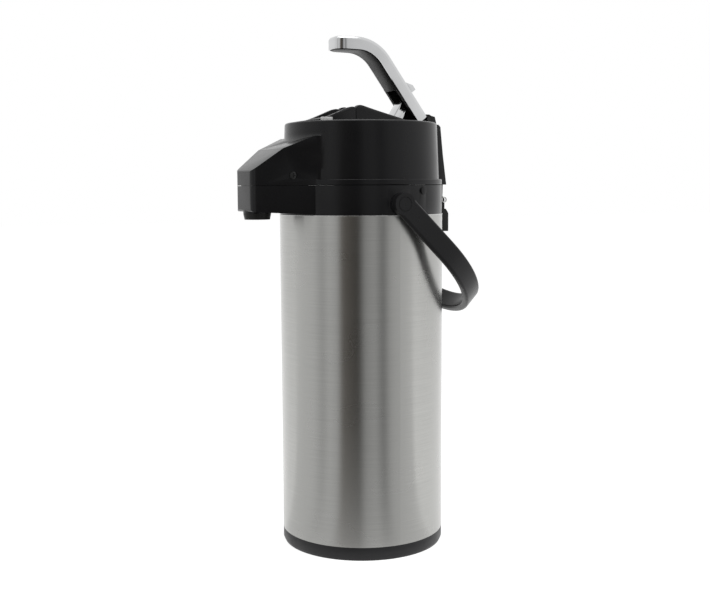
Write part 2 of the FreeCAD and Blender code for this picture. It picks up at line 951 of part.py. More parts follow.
pump_housing = shifted(turned("pump_housing", [
    (d.air_hole, nose_bottom),
    (d.nose_radius, nose_bottom),
    (d.nose_radius, pump_bottom),
    (d.pump_radius, pump_bottom),
    (d.pump_radius, plate_seat),
    (d.pump_radius + d.pump_flange, plate_seat),
    (d.pump_radius + d.pump_flange, plate_seat + d.pump_wall),
    (d.pump_radius, plate_seat + d.pump_wall),
    (d.pump_radius, pump_top),
    (d.pump_radius - d.pump_wall, pump_top),
    (d.pump_radius - d.pump_wall, pump_floor),
    (d.air_hole, pump_floor),
]), ZERO, d.pump_offset, ZERO)
outlet_seal = shifted(turned("outlet_seal", [
    (d.air_hole, stem_top + d.seam_gap),
    (d.nose_radius, stem_top + d.seam_gap),
    (d.nose_radius, nose_bottom),
    (d.air_hole, nose_bottom),
]), ZERO, d.pump_offset, ZERO)
air_valve = shifted(turned("air_valve", [
    (ZERO, pump_floor),
    (d.valve_radius, pump_floor),
    (d.valve_radius, pump_floor + d.valve_height),
    (ZERO, pump_floor + d.valve_height),
]), ZERO, d.pump_offset, ZERO)

pusher_base = pump_floor + d.bellows_height


def bellows_outline():
    """Zigzag wall between the pump's floor and the pusher."""
    folds = int(round(d.bellows_folds.number))
    step = d.bellows_height / (2 * folds)
    wide, narrow = d.bellows_radius, d.bellows_radius - d.bellows_fold
    outside = [
        (narrow if index % 2 == 0 else wide, pump_floor + step * index)
        for index in range(2 * folds + 1)
    ]
    inside = [(radius - d.bellows_wall, height) for radius, height in reversed(outside)]
    return outside + inside


bellows = shifted(turned("bellows", bellows_outline()), ZERO, d.pump_offset, ZERO)

coil_rise = d.bellows_height - d.spring_wire * 2 - d.side_gap
coil_start = pump_floor + d.spring_wire + d.side_gap / 2


def coil_points():
    """Corners of the coil's middle line, a set number to each turn."""
    sides = int(round(d.spring_sides.number))
    total = int(round(d.spring_turns.number)) * sides
    for step in range(total + 1):
        angle = 2 * math.pi * step / sides
        yield Vector(
            d.spring_radius.number * math.cos(angle),
            d.pump_offset.number + d.spring_radius.number * math.sin(angle),
            coil_start.number + coil_rise.number * step / total,
        )


coil_line = doc.addObject("Part::Polygon", "spring_line")
coil_line.Nodes = list(coil_points())
coil_wire = doc.addObject("Part::Circle", "spring_wire_section")
coil_wire.setExpression("Radius", d.spring_wire.text)
coil_heading = coil_line.Nodes[1] - coil_line.Nodes[0]
coil_wire.Placement.Rotation = FreeCAD.Rotation(Vector(0, 0, 1), coil_heading)
shifted(coil_wire, d.spring_radius, d.pump_offset, coil_start)
doc.recompute()
return_spring = doc.addObject("Part::Sweep", "return_spring")
return_spring.Sections = [coil_wire]
return_spring.Spine = (
    coil_line, [f"Edge{number}" for number in range(1, len(coil_line.Nodes))],
)
return_spring.Solid = True
return_spring.Frenet = False
return_spring.Transition = "Right corner"

yoke_y = d.pump_offset + d.yoke_offset
pusher_top = pusher_base + d.pusher_thickness
yoke_level = pusher_top + d.yoke_rise
pusher_disc = rod("pusher_disc", d.pump_radius - d.pump_wall - d.side_gap * 2, pusher_base,
                  pusher_top, "Z", (ZERO, d.pump_offset))
cheek_inner = d.link_half + d.side_gap
cheek_outer = cheek_inner + d.yoke_cheek
yoke_cheeks = []
for side in (1, -1):
    low = cheek_inner if side == 1 else -cheek_outer
    high = cheek_outer if side == 1 else -cheek_inner
    yoke_cheeks.append(padded(
        f"yoke_cheek_{'right' if side == 1 else 'left'}", "YZ_Plane",
        [[
            (yoke_y - d.yoke_radius, pusher_top - 1),
            (yoke_y + d.yoke_radius, pusher_top - 1),
            (yoke_y + d.yoke_radius, yoke_level),
            (yoke_y - d.yoke_radius, yoke_level),
        ]],
        low, high,
    ))
    yoke_cheeks.append(rod(
        f"yoke_eye_{'right' if side == 1 else 'left'}", d.yoke_radius, low, high, "X",
        (yoke_y, yoke_level),
    ))
pusher = cut("pusher", joined("pusher_form", [pusher_disc, *yoke_cheeks]), [
    rod("yoke_bore", d.yoke_pin_radius, -cheek_outer - 1, cheek_outer + 1, "X",
        (yoke_y, yoke_level)),
])
yoke_pin = rod("yoke_pin", d.yoke_pin_radius, -cheek_outer, cheek_outer, "X",
               (yoke_y, yoke_level))


# ---- lever ---------------------------------------------------------------------

pivot_y = d.body_radius - d.pivot_inset
pivot_z = rim + d.pivot_rise
arm_cos, arm_sin = cosine(d.arm_angle), sine(d.arm_angle)


def on_arm(along, off):
    """A point of the arm, at a distance along it and off it, outwards positive."""
    along, off = plain(along), plain(off)
    y = pivot_y - along * arm_cos + off * arm_sin
    z = pivot_z + along * arm_sin + off * arm_cos
    return y, z


def lever_band(top, depth, start, tip_margin):
    """Side outline of the lever's arm and pad between two depths below its top."""
    bend_turn = d.arm_angle - d.pad_angle
    half_turn = tangent(bend_turn / 2)
    upper = d.lever_top - top
    lower = upper - depth
    corner_up = on_arm(d.arm_length - (d.lever_top - upper) * half_turn, upper)
    corner_low = on_arm(d.arm_length - (d.lever_top - lower) * half_turn, lower)
    reach = d.pad_length - tip_margin
    cos_pad, sin_pad = cosine(d.pad_angle), sine(d.pad_angle)
    corner = on_arm(d.arm_length, d.lever_top)
    tip_y = corner[0] - reach * cos_pad
    tip_z = corner[1] + reach * sin_pad
    drop_up, drop_low = plain(top), plain(top) + depth
    return [
        on_arm(start, lower),
        on_arm(start, upper),
        corner_up,
        (tip_y - drop_up * sin_pad, tip_z - drop_up * cos_pad),
        (tip_y - drop_low * sin_pad, tip_z - drop_low * cos_pad),
        corner_low,
    ]


def near_bend(edge, outline_point):
    middle = edge.CenterOfMass
    y, z = outline_point
    return (
        is_along(edge, Vector(1, 0, 0))
        and abs(middle.y - y.number) < 0.05
        and abs(middle.z - z.number) < 0.05
    )


def lever_body(name, top, depth, start, tip_margin, half):
    outline = lever_band(plain(top), plain(depth), start, plain(tip_margin))
    body = across(name, [outline], half)
    rounded(body, d.lever_bend - top, lambda edge: near_bend(edge, outline[2]))
    rounded(body, d.lever_bend - top - depth, lambda edge: near_bend(edge, outline[5]))
    return body


def is_tip_corner(edge):
    middle = edge.CenterOfMass
    steep = edge.Curve.TypeId == "Part::GeomLine" and abs(edge.Curve.Direction.z) > 0.9
    return steep and middle.y < tip_line.number + 1


tip_line = (
    on_arm(d.arm_length, d.lever_top)[0] - d.pad_length * cosine(d.pad_angle)
)
lever_outside = lever_body(
    "lever_outside", ZERO, d.lever_depth, ZERO, ZERO, d.lever_half,
)
rounded(lever_outside, d.tip_round, is_tip_corner)
lever_eyes = [
    rod("lever_eye_right", d.lever_eye, d.lever_half - d.lever_wall, d.lever_half, "X",
        (pivot_y, pivot_z)),
    rod("lever_eye_left", d.lever_eye, -d.lever_half, -d.lever_half + d.lever_wall, "X",
        (pivot_y, pivot_z)),
]
lever_hollow = lever_body(
    "lever_hollow", d.lever_wall, d.lever_depth + 4, -15, d.lever_wall * 1.5,
    d.lever_half - d.lever_wall,
)
knuckle_room = rod(
    "knuckle_room", d.knuckle_radius + d.fit_gap * 6, -d.lever_half + d.lever_wall,
    d.lever_half - d.lever_wall, "X", (pivot_y, pivot_z),
)
near_end = across("near_end", [[
    on_arm(d.lever_eye, -d.lever_eye),
    on_arm(d.lever_eye, -d.lever_eye - 10),
    on_arm(-15, -d.lever_eye - 10),
    on_arm(-15, -d.lever_eye),
]], d.lever_half + 1)
pin_bore = rod(
    "pin_bore", d.lever_pin_radius + d.running_gap, -d.lever_half - 1, d.lever_half + 1,
    "X", (pivot_y, pivot_z),
)
lever_cover = cut(
    "lever_cover", joined("lever_form", [lever_outside, *lever_eyes]),
    [lever_hollow, knuckle_room, near_end, pin_bore],
)
lever_pin = rod("lever_pin", d.lever_pin_radius, -d.lever_half, d.lever_half, "X",
                (pivot_y, pivot_z))

core_outer = d.lever_half - d.lever_wall
core_inner = core_outer - d.core_cheek
core_top = d.lever_top - d.lever_wall
link_top = (
    pivot_y - d.link_pin_reach * cosine(d.arm_angle - d.link_pin_drop),
    pivot_z + d.link_pin_reach * sine(d.arm_angle - d.link_pin_drop),
)
core_parts = []
for side in (1, -1):
    low = core_inner if side == 1 else -core_outer
    high = core_outer if side == 1 else -core_inner
    word = "right" if side == 1 else "left"
    core_parts.append(padded(f"core_side_{word}", "YZ_Plane", [[
        on_arm(0, -d.lever_eye),
        on_arm(0, core_top),
        on_arm(d.core_length, core_top),
        on_arm(d.core_length - d.core_start, -d.lever_depth + d.lever_top + 0.5),
        on_arm(d.core_start + 2, -d.lever_depth + d.lever_top + 0.5),
    ]], low, high))
    core_parts.append(rod(f"core_eye_{word}", d.lever_eye, low, high, "X",
                          (pivot_y, pivot_z)))
core_parts.append(across("core_bridge", [[
    on_arm(d.link_pin_reach + d.core_start, core_top - 2.5),
    on_arm(d.link_pin_reach + d.core_start, core_top),
    on_arm(d.core_length, core_top),
    on_arm(d.core_length, core_top - 2.5),
]], core_outer))
link_bore = rod("link_bore", d.link_pin_radius, -d.lever_half - 1, d.lever_half + 1, "X",
                link_top)
core_pin_bore = rod(
    "core_pin_bore", d.lever_pin_radius + d.running_gap, -d.lever_half - 1,
    d.lever_half + 1, "X", (pivot_y, pivot_z),
)
lever_core = cut("lever_core", joined("core_form", core_parts), [core_pin_bore, link_bore])
link_pin = rod("link_pin", d.link_pin_radius, -core_outer, core_outer, "X", link_top)

link_bottom = (yoke_y, yoke_level)
link_dy = (link_top[0] - link_bottom[0]).number
link_dz = (link_top[1] - link_bottom[1]).number
link_length = math.hypot(link_dy, link_dz)


def link_blank():
    """Two eyes joined by their outer tangents, worked from the sheet's sizes."""
    small, large = d.link_eye.number, d.link_foot.number
    along = Vector(0, link_dy / link_length, link_dz / link_length)
    side = Vector(0, -along.z, along.y)
    foot = Vector(-d.link_half.number, link_bottom[0].number, link_bottom[1].number)
    head = Vector(-d.link_half.number, link_top[0].number, link_top[1].number)
    corners = [
        foot + side * large, head + side * small, head - side * small,
        foot - side * large,
    ]
    face = Part.Face(Part.makePolygon([*corners, corners[0]]))
    depth = Vector(2 * d.link_half.number, 0, 0)
    axis = Vector(1, 0, 0)
    web = face.extrude(depth)
    eye = Part.makeCylinder(small, depth.x, head, axis)
    toe = Part.makeCylinder(large, depth.x, foot, axis)
    bore = Part.makeCylinder(d.link_pin_radius.number + d.running_gap.number,
                             depth.x, head, axis)
    room = Part.makeCylinder(d.yoke_pin_radius.number + d.link_play.number,
                             depth.x, foot, axis)
    return web.fuse([eye, toe]).removeSplitter().cut([bore, room])


pump_link = doc.addObject("Part::Feature", "pump_link")
pump_link.Label = "pump_link"
pump_link.Shape = link_blank()

catch_base = across("catch_base", [[
    on_arm(d.catch_station, d.lever_top),
    on_arm(d.catch_station, d.lever_top + d.catch_wall),
    on_arm(d.catch_station + d.catch_length, d.lever_top + d.catch_wall),
    on_arm(d.catch_station + d.catch_length, d.lever_top),
]], d.catch_half)
catch_prongs = []
for side in (1, -1):
    low = d.catch_half - d.catch_wall if side == 1 else -d.catch_half
    high = d.catch_half if side == 1 else -d.catch_half + d.catch_wall
    catch_prongs.append(padded(
        f"catch_prong_{'right' if side == 1 else 'left'}", "YZ_Plane", [[
            on_arm(d.catch_station, d.lever_top),
            on_arm(d.catch_station, d.lever_top + d.catch_height),
            on_arm(d.catch_station + d.catch_length * 0.4, d.lever_top + d.catch_height),
            on_arm(d.catch_station + d.catch_length, d.lever_top + d.catch_wall),
            on_arm(d.catch_station + d.catch_length, d.lever_top),
        ]], low, high,
    ))
lever_catch = joined("lever_catch", [catch_base, *catch_prongs])


# ---- top cover, dish and lock ----------------------------------------------------

cover_base = rim - d.cover_thickness
cover_radius = rim_bore - d.fit_gap
cover_disc = turned("cover_disc", [
    (ZERO, cover_base),
    (cover_radius, cover_base),
    (cover_radius, rim),
    (ZERO, rim),
])
cheek_form = across("cheek_form", [[
    (-d.hump_peak, rim - 1),
    (-d.hump_peak, rim + d.hump_rise),
    (-d.hump_peak + 6, rim + d.hump_rise - 0.5),
    (d.hump_tail - 8, rim + d.tail_rise),
    (d.hump_tail, rim - 1),
]], d.hump_half)
rounded(cheek_form, d.cheek_round, lambda edge: is_along(edge, Vector(0, 1, 0)) is False
        and edge.CenterOfMass.z > rim.number + 0.5
        and abs(abs(edge.CenterOfMass.x) - d.hump_half.number) < 0.01
        and abs(edge.CenterOfMass.y + d.hump_peak.number) > 0.01)
cheek_channel = block(
    "cheek_channel", (-d.channel_half, -d.hump_peak - 1, rim),
    (d.channel_half, d.hump_tail + 1, rim + d.hump_rise + 5),
)
link_slot = block(
    "link_slot", (-d.channel_half, d.link_slot_front, cover_base - 1),
    (d.channel_half, d.link_slot_back, rim + 1),
)
lock_inner = d.hump_half + d.lock_side
toe_inner = lock_inner + (d.lock_width - d.lock_toe) / 2
lock_slot = block(
    "lock_slot",
    (toe_inner - d.side_gap, -d.lock_front + d.lock_toe - d.side_gap, cover_base - 1),
    (toe_inner + d.lock_toe + d.side_gap,
     -d.lock_front + d.lock_length - d.lock_toe + d.lock_travel + d.side_gap, rim + 1),
)
top_cover = cut(
    "top_cover", joined("cover_form", [cover_disc, cheek_form]),
    [cheek_channel, link_slot, lock_slot],
)

dish_back = d.hump_peak + d.dish_seam
dish_form = across("dish_form", [[
    (-d.hump_front, rim),
    (-d.hump_front, rim + 1.0),
    (-dish_back, rim + d.hump_rise),
    (-dish_back, rim),
]], d.hump_half)
rounded(dish_form, d.cheek_round, lambda edge: edge.CenterOfMass.z > rim.number + 1.2
        and abs(abs(edge.CenterOfMass.x) - d.hump_half.number) < 0.01
        and abs(edge.CenterOfMass.y + dish_back.number) > 0.01)
dish_scoop = across("dish_scoop", [[
    (-d.hump_front + 2, rim + d.dish_floor),
    (-dish_back + 1, rim + d.dish_floor + d.dish_slope),
    (-dish_back + 1, rim + d.hump_rise + 5),
    (-d.hump_front + 2, rim + d.hump_rise + 5),
]], d.channel_half)
rib_total = int(round(d.rib_count.number))
rib_pitch = (d.hump_front - dish_back - 6) / d.rib_count
dish_ribs = []
for index in range(rib_total):
    start = -d.hump_front + 4 + rib_pitch * index
    share = (start + d.hump_front - 2) / (d.hump_front - dish_back - 1)
    level = rim + d.dish_floor + d.dish_slope * share
    dish_ribs.append(block(
        f"dish_rib_{index}", (-d.channel_half, start, level - 1),
        (d.channel_half, start + d.rib_width, level + d.rib_height),
    ))
thumb_dish = joined("thumb_dish", [cut("dish_body", dish_form, [dish_scoop]), *dish_ribs])

lever_lock = joined("lever_lock", [
    block("lock_knob", (lock_inner, -d.lock_front, rim + d.seam_gap),
          (lock_inner + d.lock_width, -d.lock_front + d.lock_length,
           rim + d.seam_gap + d.lock_height)),
    block("lock_foot",
          (toe_inner, -d.lock_front + d.lock_toe, cover_base - 1.5),
          (toe_inner + d.lock_toe, -d.lock_front + d.lock_length - d.lock_toe,
           rim + d.seam_gap + 1)),
])


# ---- rear spine and lid hinge -----------------------------------------------------

hinge_y = d.body_radius + d.hinge_overhang
hinge_z = seam - d.hinge_drop
spine_foot = d.body_radius + d.spine_overhang
spine_top = spine_foot - d.spine_slope
spine_wall = across("spine_wall", [[
    (pivot_y, head_base),
    (spine_foot, head_base),
    ((spine_foot + spine_top) / 2 - 0.5, (head_base + rim) / 2),
    (spine_top, rim - 2),
    (spine_top - 2, rim),
    (pivot_y, rim),
]], d.spine_half)
knuckle_web = across("knuckle_web", [[
    (pivot_y, rim),
    (spine_top - 1, rim - 1),
    (spine_top - 3, pivot_z + d.knuckle_radius - 2),
    (pivot_y, pivot_z + d.knuckle_radius),
]], d.knuckle_half)
knuckle = cut("knuckle", rod(
    "knuckle_rod", d.knuckle_radius, -d.knuckle_half, d.knuckle_half, "X",
    (pivot_y, pivot_z),
), [block("knuckle_trim", (-d.spine_half, pivot_y - 10, rim - 5),
          (d.spine_half, pivot_y + 10, rim))])
drum_body = turned("drum_body", [
    (ZERO, head_base - 1),
    (collar_radius, head_base - 1),
    (collar_radius, lip_top),
    (head_radius, lip_top),
    (rim_radius, rim),
    (ZERO, rim),
])
hinge_tab = across("hinge_tab", [[
    (collar_radius + d.spine_clear, hinge_z),
    (hinge_y + d.hinge_eye, hinge_z),
    (spine_foot, head_base + 1),
    (collar_radius + d.spine_clear, head_base + 1),
]], d.hinge_half)
tab_eye = rod("tab_eye", d.hinge_eye, -d.hinge_half, d.hinge_half, "X", (hinge_y, hinge_z))
rear_spine = cut(
    "rear_spine",
    joined("spine_form", [
        cut("spine_outer", spine_wall, [drum_body]), knuckle_web, knuckle, hinge_tab, tab_eye,
    ]),
    [
        rod("spine_pin_bore", d.lever_pin_radius, -d.knuckle_half - 1, d.knuckle_half + 1,
            "X", (pivot_y, pivot_z)),
        rod("tab_bore", d.hinge_pin_radius + d.running_gap, -d.hinge_half - 1,
            d.hinge_half + 1, "X", (hinge_y, hinge_z)),
    ],
)

bracket_bottom = shell_top - d.bracket_height
bracket_reach = d.body_radius + d.bracket_overhang
bracket_front = across("bracket_front", [[
    (d.body_radius - 6, bracket_bottom),
    (bracket_reach - 1, bracket_bottom),
    (bracket_reach, bracket_bottom + 1),
    (bracket_reach, shell_top - 2),
    (hinge_y + d.hinge_eye, shell_top + d.bracket_slope),
    (d.body_radius - 6, shell_top + d.bracket_slope),
]], d.bracket_half)
rounded(bracket_front, d.spout_edge, lambda edge: is_along(edge, Vector(0, 0, 1))
        and edge.CenterOfMass.y > bracket_reach.number - 0.1)
ear_inner = d.hinge_half + d.side_gap
ear_outer = ear_inner + d.hinge_ear
hinge_ears = []
for side in (1, -1):
    low = ear_inner if side == 1 else -ear_outer
    high = ear_outer if side == 1 else -ear_inner
    word = "right" if side == 1 else "left"
    hinge_ears.append(block(
        f"ear_post_{word}", (low, hinge_y - d.hinge_eye, shell_top),
        (high, hinge_y + d.hinge_eye, hinge_z),
    ))
    hinge_ears.append(rod(f"ear_eye_{word}", d.hinge_eye, low, high, "X",
                          (hinge_y, hinge_z)))
shell_face = rod("shell_face", d.body_radius, bracket_bottom - 5, hinge_z + 10, "Z",
                 (ZERO, ZERO))
bracket_screw_level = bracket_bottom + d.bracket_screw_rise
bracket_bores = [
    rod(f"bracket_bore_{number}", d.bracket_screw_radius + d.running_gap,
        bracket_reach - 2, bracket_reach + 2, "Y",
        (d.bracket_screw_spread * side, bracket_screw_level))
    for number, side in enumerate((1, -1))
]
hinge_bracket = cut(
    "hinge_bracket", joined("bracket_form", [bracket_front, *hinge_ears]),
    [
        shell_face,
        rod("ear_bore", d.hinge_pin_radius, -ear_outer - 1, ear_outer + 1, "X",
            (hinge_y, hinge_z)),
        *bracket_bores,
    ],
)
bracket_screws = group("bracket_screws", [
    rod(f"bracket_screw_{number}", d.bracket_screw_radius, bracket_reach - 2,
        bracket_reach - 0.3, "Y", (d.bracket_screw_spread * side, bracket_screw_level))
    for number, side in enumerate((1, -1))
])

pull_loop = doc.addObject("Part::Torus", "pull_loop")
pull_loop.setExpression("Radius1", d.ring_pull.text)
pull_loop.setExpression("Radius2", d.ring_wire.text)
pull_loop.Placement.Rotation = FreeCAD.Rotation(Vector(0, 1, 0), 90)
shifted(pull_loop, ear_outer + d.side_gap + d.ring_wire, hinge_y + d.ring_pull, hinge_z)
hinge_pin = joined("hinge_pin", [
    rod("hinge_wire", d.hinge_pin_radius, -ear_outer - 0.5,
        ear_outer + d.side_gap + d.ring_wire, "X", (hinge_y, hinge_z)),
    pull_loop,
])


# ---- bail ----------------------------------------------------------------------

bail_inner = boss_face + d.side_gap
bail_outer = bail_inner + d.bail_thickness


def bail_arch(name, radius, half):
    """A U in plan: two straight arms closed by a half circle."""
    arms = padded(f"{name}_arms", "XY_Plane", [[
        (-radius, ZERO), (radius, ZERO), (radius, d.bail_straight),
        (-radius, d.bail_straight),
    ]], -half, half)
    bow = rod(f"{name}_bow", radius, -half, half, "Z", (ZERO, d.bail_straight))
    return [arms, bow]


bail_span = bail_outer + d.bail_straight + 5
bail_blank = cut(
    "bail_blank",
    shared("bail_outside", [
        joined("bail_plan", bail_arch("bail_out", bail_outer, d.bail_half)),
        block("bail_side", (-bail_span, ZERO, -d.bail_half),
              (bail_span, bail_span, d.bail_half)),
    ]),
    [joined("bail_inside", bail_arch("bail_in", bail_inner, d.bail_half + 1))],
)
doc.recompute()
bail_soft = doc.addObject("Part::Fillet", "bail_soft")
bail_soft.Base = bail_blank
bail_soft.Edges = [
    (number, d.bail_edge.number, d.bail_edge.number)
    for number, edge in enumerate(bail_blank.Shape.Edges, start=1)
    if abs(abs(edge.CenterOfMass.z) - d.bail_half.number) < 0.01
    and edge.BoundBox.YMax > 0.01
]
bail_ends = [
    rod("bail_end_right", d.bail_half, bail_inner, bail_outer, "X", (ZERO, ZERO)),
    rod("bail_end_left", d.bail_half, -bail_outer, -bail_inner, "X", (ZERO, ZERO)),
]
cap_seat = bail_outer - d.bail_cap_height
bail_handle = cut(
    "bail_handle", joined("bail_form", [bail_soft, *bail_ends]),
    [
        rod("bail_bore", d.bail_pin_radius + d.running_gap, -bail_outer - 1,
            bail_outer + 1, "X", (ZERO, ZERO)),
        rod("cap_room_right", d.bail_cap_radius + d.side_gap, cap_seat - d.side_gap,
            bail_outer + 1, "X", (ZERO, ZERO)),
        rod("cap_room_left", d.bail_cap_radius + d.side_gap, -bail_outer - 1,
            -cap_seat + d.side_gap, "X", (ZERO, ZERO)),
    ],
)
bail_handle.Placement.Rotation = FreeCAD.Rotation(Vector(1, 0, 0), -d.bail_angle.number)
shifted(bail_handle, ZERO, ZERO, bail_level)

bail_pivot_list = []
for side in (1, -1):
    word = "right" if side == 1 else "left"
    pin_low, pin_high = collar_bore, cap_seat + 0.5
    cap_low, cap_high = cap_seat, bail_outer
    if side == -1:
        pin_low, pin_high = -pin_high, -pin_low
        cap_low, cap_high = -cap_high, -cap_low
    bail_pivot_list.append(joined(f"bail_pivot_{word}", [
        rod(f"bail_shank_{word}", d.bail_pin_radius, pin_low, pin_high, "X",
            (ZERO, bail_level)),
        rod(f"bail_cap_{word}", d.bail_cap_radius, cap_low, cap_high, "X",
            (ZERO, bail_level)),
    ]))
bail_pivots = group("bail_pivots", bail_pivot_list)


# ---- check and write -------------------------------------------------------------

NODES = [
    base_ring, base_plate, base_screws, outer_shell, flask_cushion, vacuum_jacket,
    inner_liner, neck_seal, stem_plate, dip_tube, discharge_pipe, nozzle, shoulder_ring,
    hinge_bracket, bracket_screws, hinge_pin, bail_pivots,
    head_shell, side_screws, lid_plate, lid_screws, pump_housing, outlet_seal, air_valve,
    bellows, return_spring, top_cover, thumb_dish, rear_spine, lever_pin,
    lever_cover, lever_core, link_pin, lever_catch, pump_link, pusher, yoke_pin,
    lever_lock, bail_handle,
]

doc.recompute()
failed = [
    item.Name for item in doc.Objects
    if "Invalid" in item.State or "Error" in item.State
]
if failed:
    raise RuntimeError(f"these objects failed to build: {failed}")
broken = [
    node.Label for node in NODES if node.Shape.isNull() or not node.Shape.isValid()
]
if broken:
    raise RuntimeError(f"these pieces have no valid shape: {broken}")
os.makedirs("parts", exist_ok=True)
for node in NODES:
    node.Shape.exportStep(f"parts/{node.Label}.step")
    print(node.Label, len(node.Shape.Solids), round(node.Shape.Volume, 1))
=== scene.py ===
import json
import math
import bmesh
import bpy
from mathutils import Matrix, Vector


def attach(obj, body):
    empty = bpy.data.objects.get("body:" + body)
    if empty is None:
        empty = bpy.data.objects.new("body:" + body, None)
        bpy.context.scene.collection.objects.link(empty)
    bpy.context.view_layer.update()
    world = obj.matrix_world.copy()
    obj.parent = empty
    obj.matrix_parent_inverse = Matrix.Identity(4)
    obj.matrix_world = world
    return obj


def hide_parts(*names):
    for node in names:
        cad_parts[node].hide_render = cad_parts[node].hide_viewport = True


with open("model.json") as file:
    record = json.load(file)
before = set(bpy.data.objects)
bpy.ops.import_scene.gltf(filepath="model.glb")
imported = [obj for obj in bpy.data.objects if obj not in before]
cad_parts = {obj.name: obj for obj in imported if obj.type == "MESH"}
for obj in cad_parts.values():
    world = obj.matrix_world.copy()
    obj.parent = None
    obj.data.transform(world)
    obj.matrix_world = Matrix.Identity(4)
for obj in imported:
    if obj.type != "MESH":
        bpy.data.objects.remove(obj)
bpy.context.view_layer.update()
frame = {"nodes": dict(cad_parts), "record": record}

# Lever airpot, metres, in the same frame as the parts. +Z up, spout towards -Y.

scene = bpy.context.scene
scene.view_settings.view_transform = "Standard"


# ---- small helpers for node trees ----------------------------------------------

def worked(tree, kind, *values):
    """The result of one sum on sockets or plain numbers."""
    node = tree.nodes.new("ShaderNodeMath")
    node.operation = kind
    for socket, value in zip(node.inputs, values):
        if isinstance(value, (int, float)):
            socket.default_value = value
        else:
            tree.links.new(value, socket)
    return node.outputs[0]


def point_of(tree, **parts):
    """A vector from sockets for some of its axes."""
    node = tree.nodes.new("ShaderNodeCombineXYZ")
    for axis, value in parts.items():
        tree.links.new(value, node.inputs[axis])
    return node.outputs[0]


# ---- finishes ----------------------------------------------------------------

class Finish:
    """A node material that is built up step by step round one Principled shader."""

    def __init__(self, name):
        self.material = bpy.data.materials.new(name)
        self.material.use_nodes = True
        self.tree = self.material.node_tree
        self.shader = self.tree.nodes["Principled BSDF"]
        self.place = None

    def node(self, kind, **values):
        made = self.tree.nodes.new(kind)
        for word, value in values.items():
            setattr(made, word, value)
        return made

    def link(self, source, target):
        self.tree.links.new(source, target)

    def set(self, **values):
        """Constants, straight on the shader's own sockets."""
        for word, value in values.items():
            self.shader.inputs[word.replace("_", " ")].default_value = value
        return self

    def points(self):
        if self.place is None:
            self.place = self.node("ShaderNodeTexCoord").outputs["Object"]
        return self.place

    def stretched(self, scale):
        """Object coordinates, scaled per axis."""
        mapping = self.node("ShaderNodeMapping")
        self.link(self.points(), mapping.inputs["Vector"])
        mapping.inputs["Scale"].default_value = scale
        return mapping.outputs["Vector"]

    def round_the_axis(self, turns, rise):
        """(angle, radius, height) coordinates for marks that run round the body."""
        split = self.node("ShaderNodeSeparateXYZ")
        self.link(self.points(), split.inputs[0])
        angle = worked(self.tree, "ARCTAN2", split.outputs["Y"], split.outputs["X"])
        return point_of(
            self.tree,
            X=worked(self.tree, "MULTIPLY", angle, turns),
            Z=worked(self.tree, "MULTIPLY", split.outputs["Z"], rise),
        )

    def noise(self, vector, scale=1.0, detail=2.0, roughness=0.5):
        grain = self.node("ShaderNodeTexNoise")
        self.link(vector, grain.inputs["Vector"])
        grain.inputs["Scale"].default_value = scale
        grain.inputs["Detail"].default_value = detail
        grain.inputs["Roughness"].default_value = roughness
        return grain.outputs["Fac"]

    def ranged(self, value, low, high, start=0.3, end=0.7):
        """The value spread from start..end to low..high."""
        spread = self.node("ShaderNodeMapRange")
        self.link(value, spread.inputs["Value"])
        spread.inputs["From Min"].default_value = start
        spread.inputs["From Max"].default_value = end
        spread.inputs["To Min"].default_value = low
        spread.inputs["To Max"].default_value = high
        return spread.outputs["Result"]

    def roughness(self, value, low, high, start=0.3, end=0.7):
        self.link(self.ranged(value, low, high, start, end), self.shader.inputs["Roughness"])
        return self

    def shade(self, value, dark, light, start=0.3, end=0.7):
        """Base colour between two tones by the value."""
        tones = self.node("ShaderNodeMix", data_type="RGBA")
        self.link(self.ranged(value, 0.0, 1.0, start, end), tones.inputs["Factor"])
        tones.inputs["A"].default_value = (*dark, 1.0)
        tones.inputs["B"].default_value = (*light, 1.0)
        self.link(tones.outputs["Result"], self.shader.inputs["Base Color"])
        return self

    def bump(self, value, depth, strength):
        raised = self.node("ShaderNodeBump")
        raised.inputs["Distance"].default_value = depth
        raised.inputs["Strength"].default_value = strength
        self.link(value, raised.inputs["Height"])
        self.link(raised.outputs["Normal"], self.shader.inputs["Normal"])
        return self


def brushed_shell_steel():
    """Steel brushed round the body, so that reflections draw out along its height."""
    finish = Finish("brushed_shell_steel")
    lines = finish.noise(
        finish.round_the_axis(turns=1.6, rise=5200.0), detail=3.0, roughness=0.65,
    )
    patches = finish.noise(finish.round_the_axis(turns=1.2, rise=22.0))
    finish.set(Metallic=1.0, Anisotropic=0.9, Anisotropic_Rotation=0.25)
    finish.shade(lines, dark=(0.355, 0.355, 0.343), light=(0.445, 0.445, 0.43))
    finish.roughness(patches, low=0.25, high=0.31, start=0.1, end=0.9)
    finish.bump(lines, depth=0.000012, strength=0.35)
    tangent = finish.node("ShaderNodeTangent", direction_type="RADIAL", axis="Z")
    finish.link(tangent.outputs[0], finish.shader.inputs["Tangent"])
    return finish.material


def plain_steel(name, light, low, high, scale=900.0):
    """Smooth metal with a fine grain and faint stains."""
    finish = Finish(name)
    grain = finish.noise(finish.points(), scale=scale, detail=3.0)
    stains = finish.noise(finish.points(), scale=60.0)
    finish.set(Metallic=1.0)
    finish.shade(stains, dark=tuple(tone * 0.93 for tone in light), light=light)
    finish.roughness(grain, low, high)
    finish.bump(grain, depth=0.000006, strength=0.4)
    return finish.material


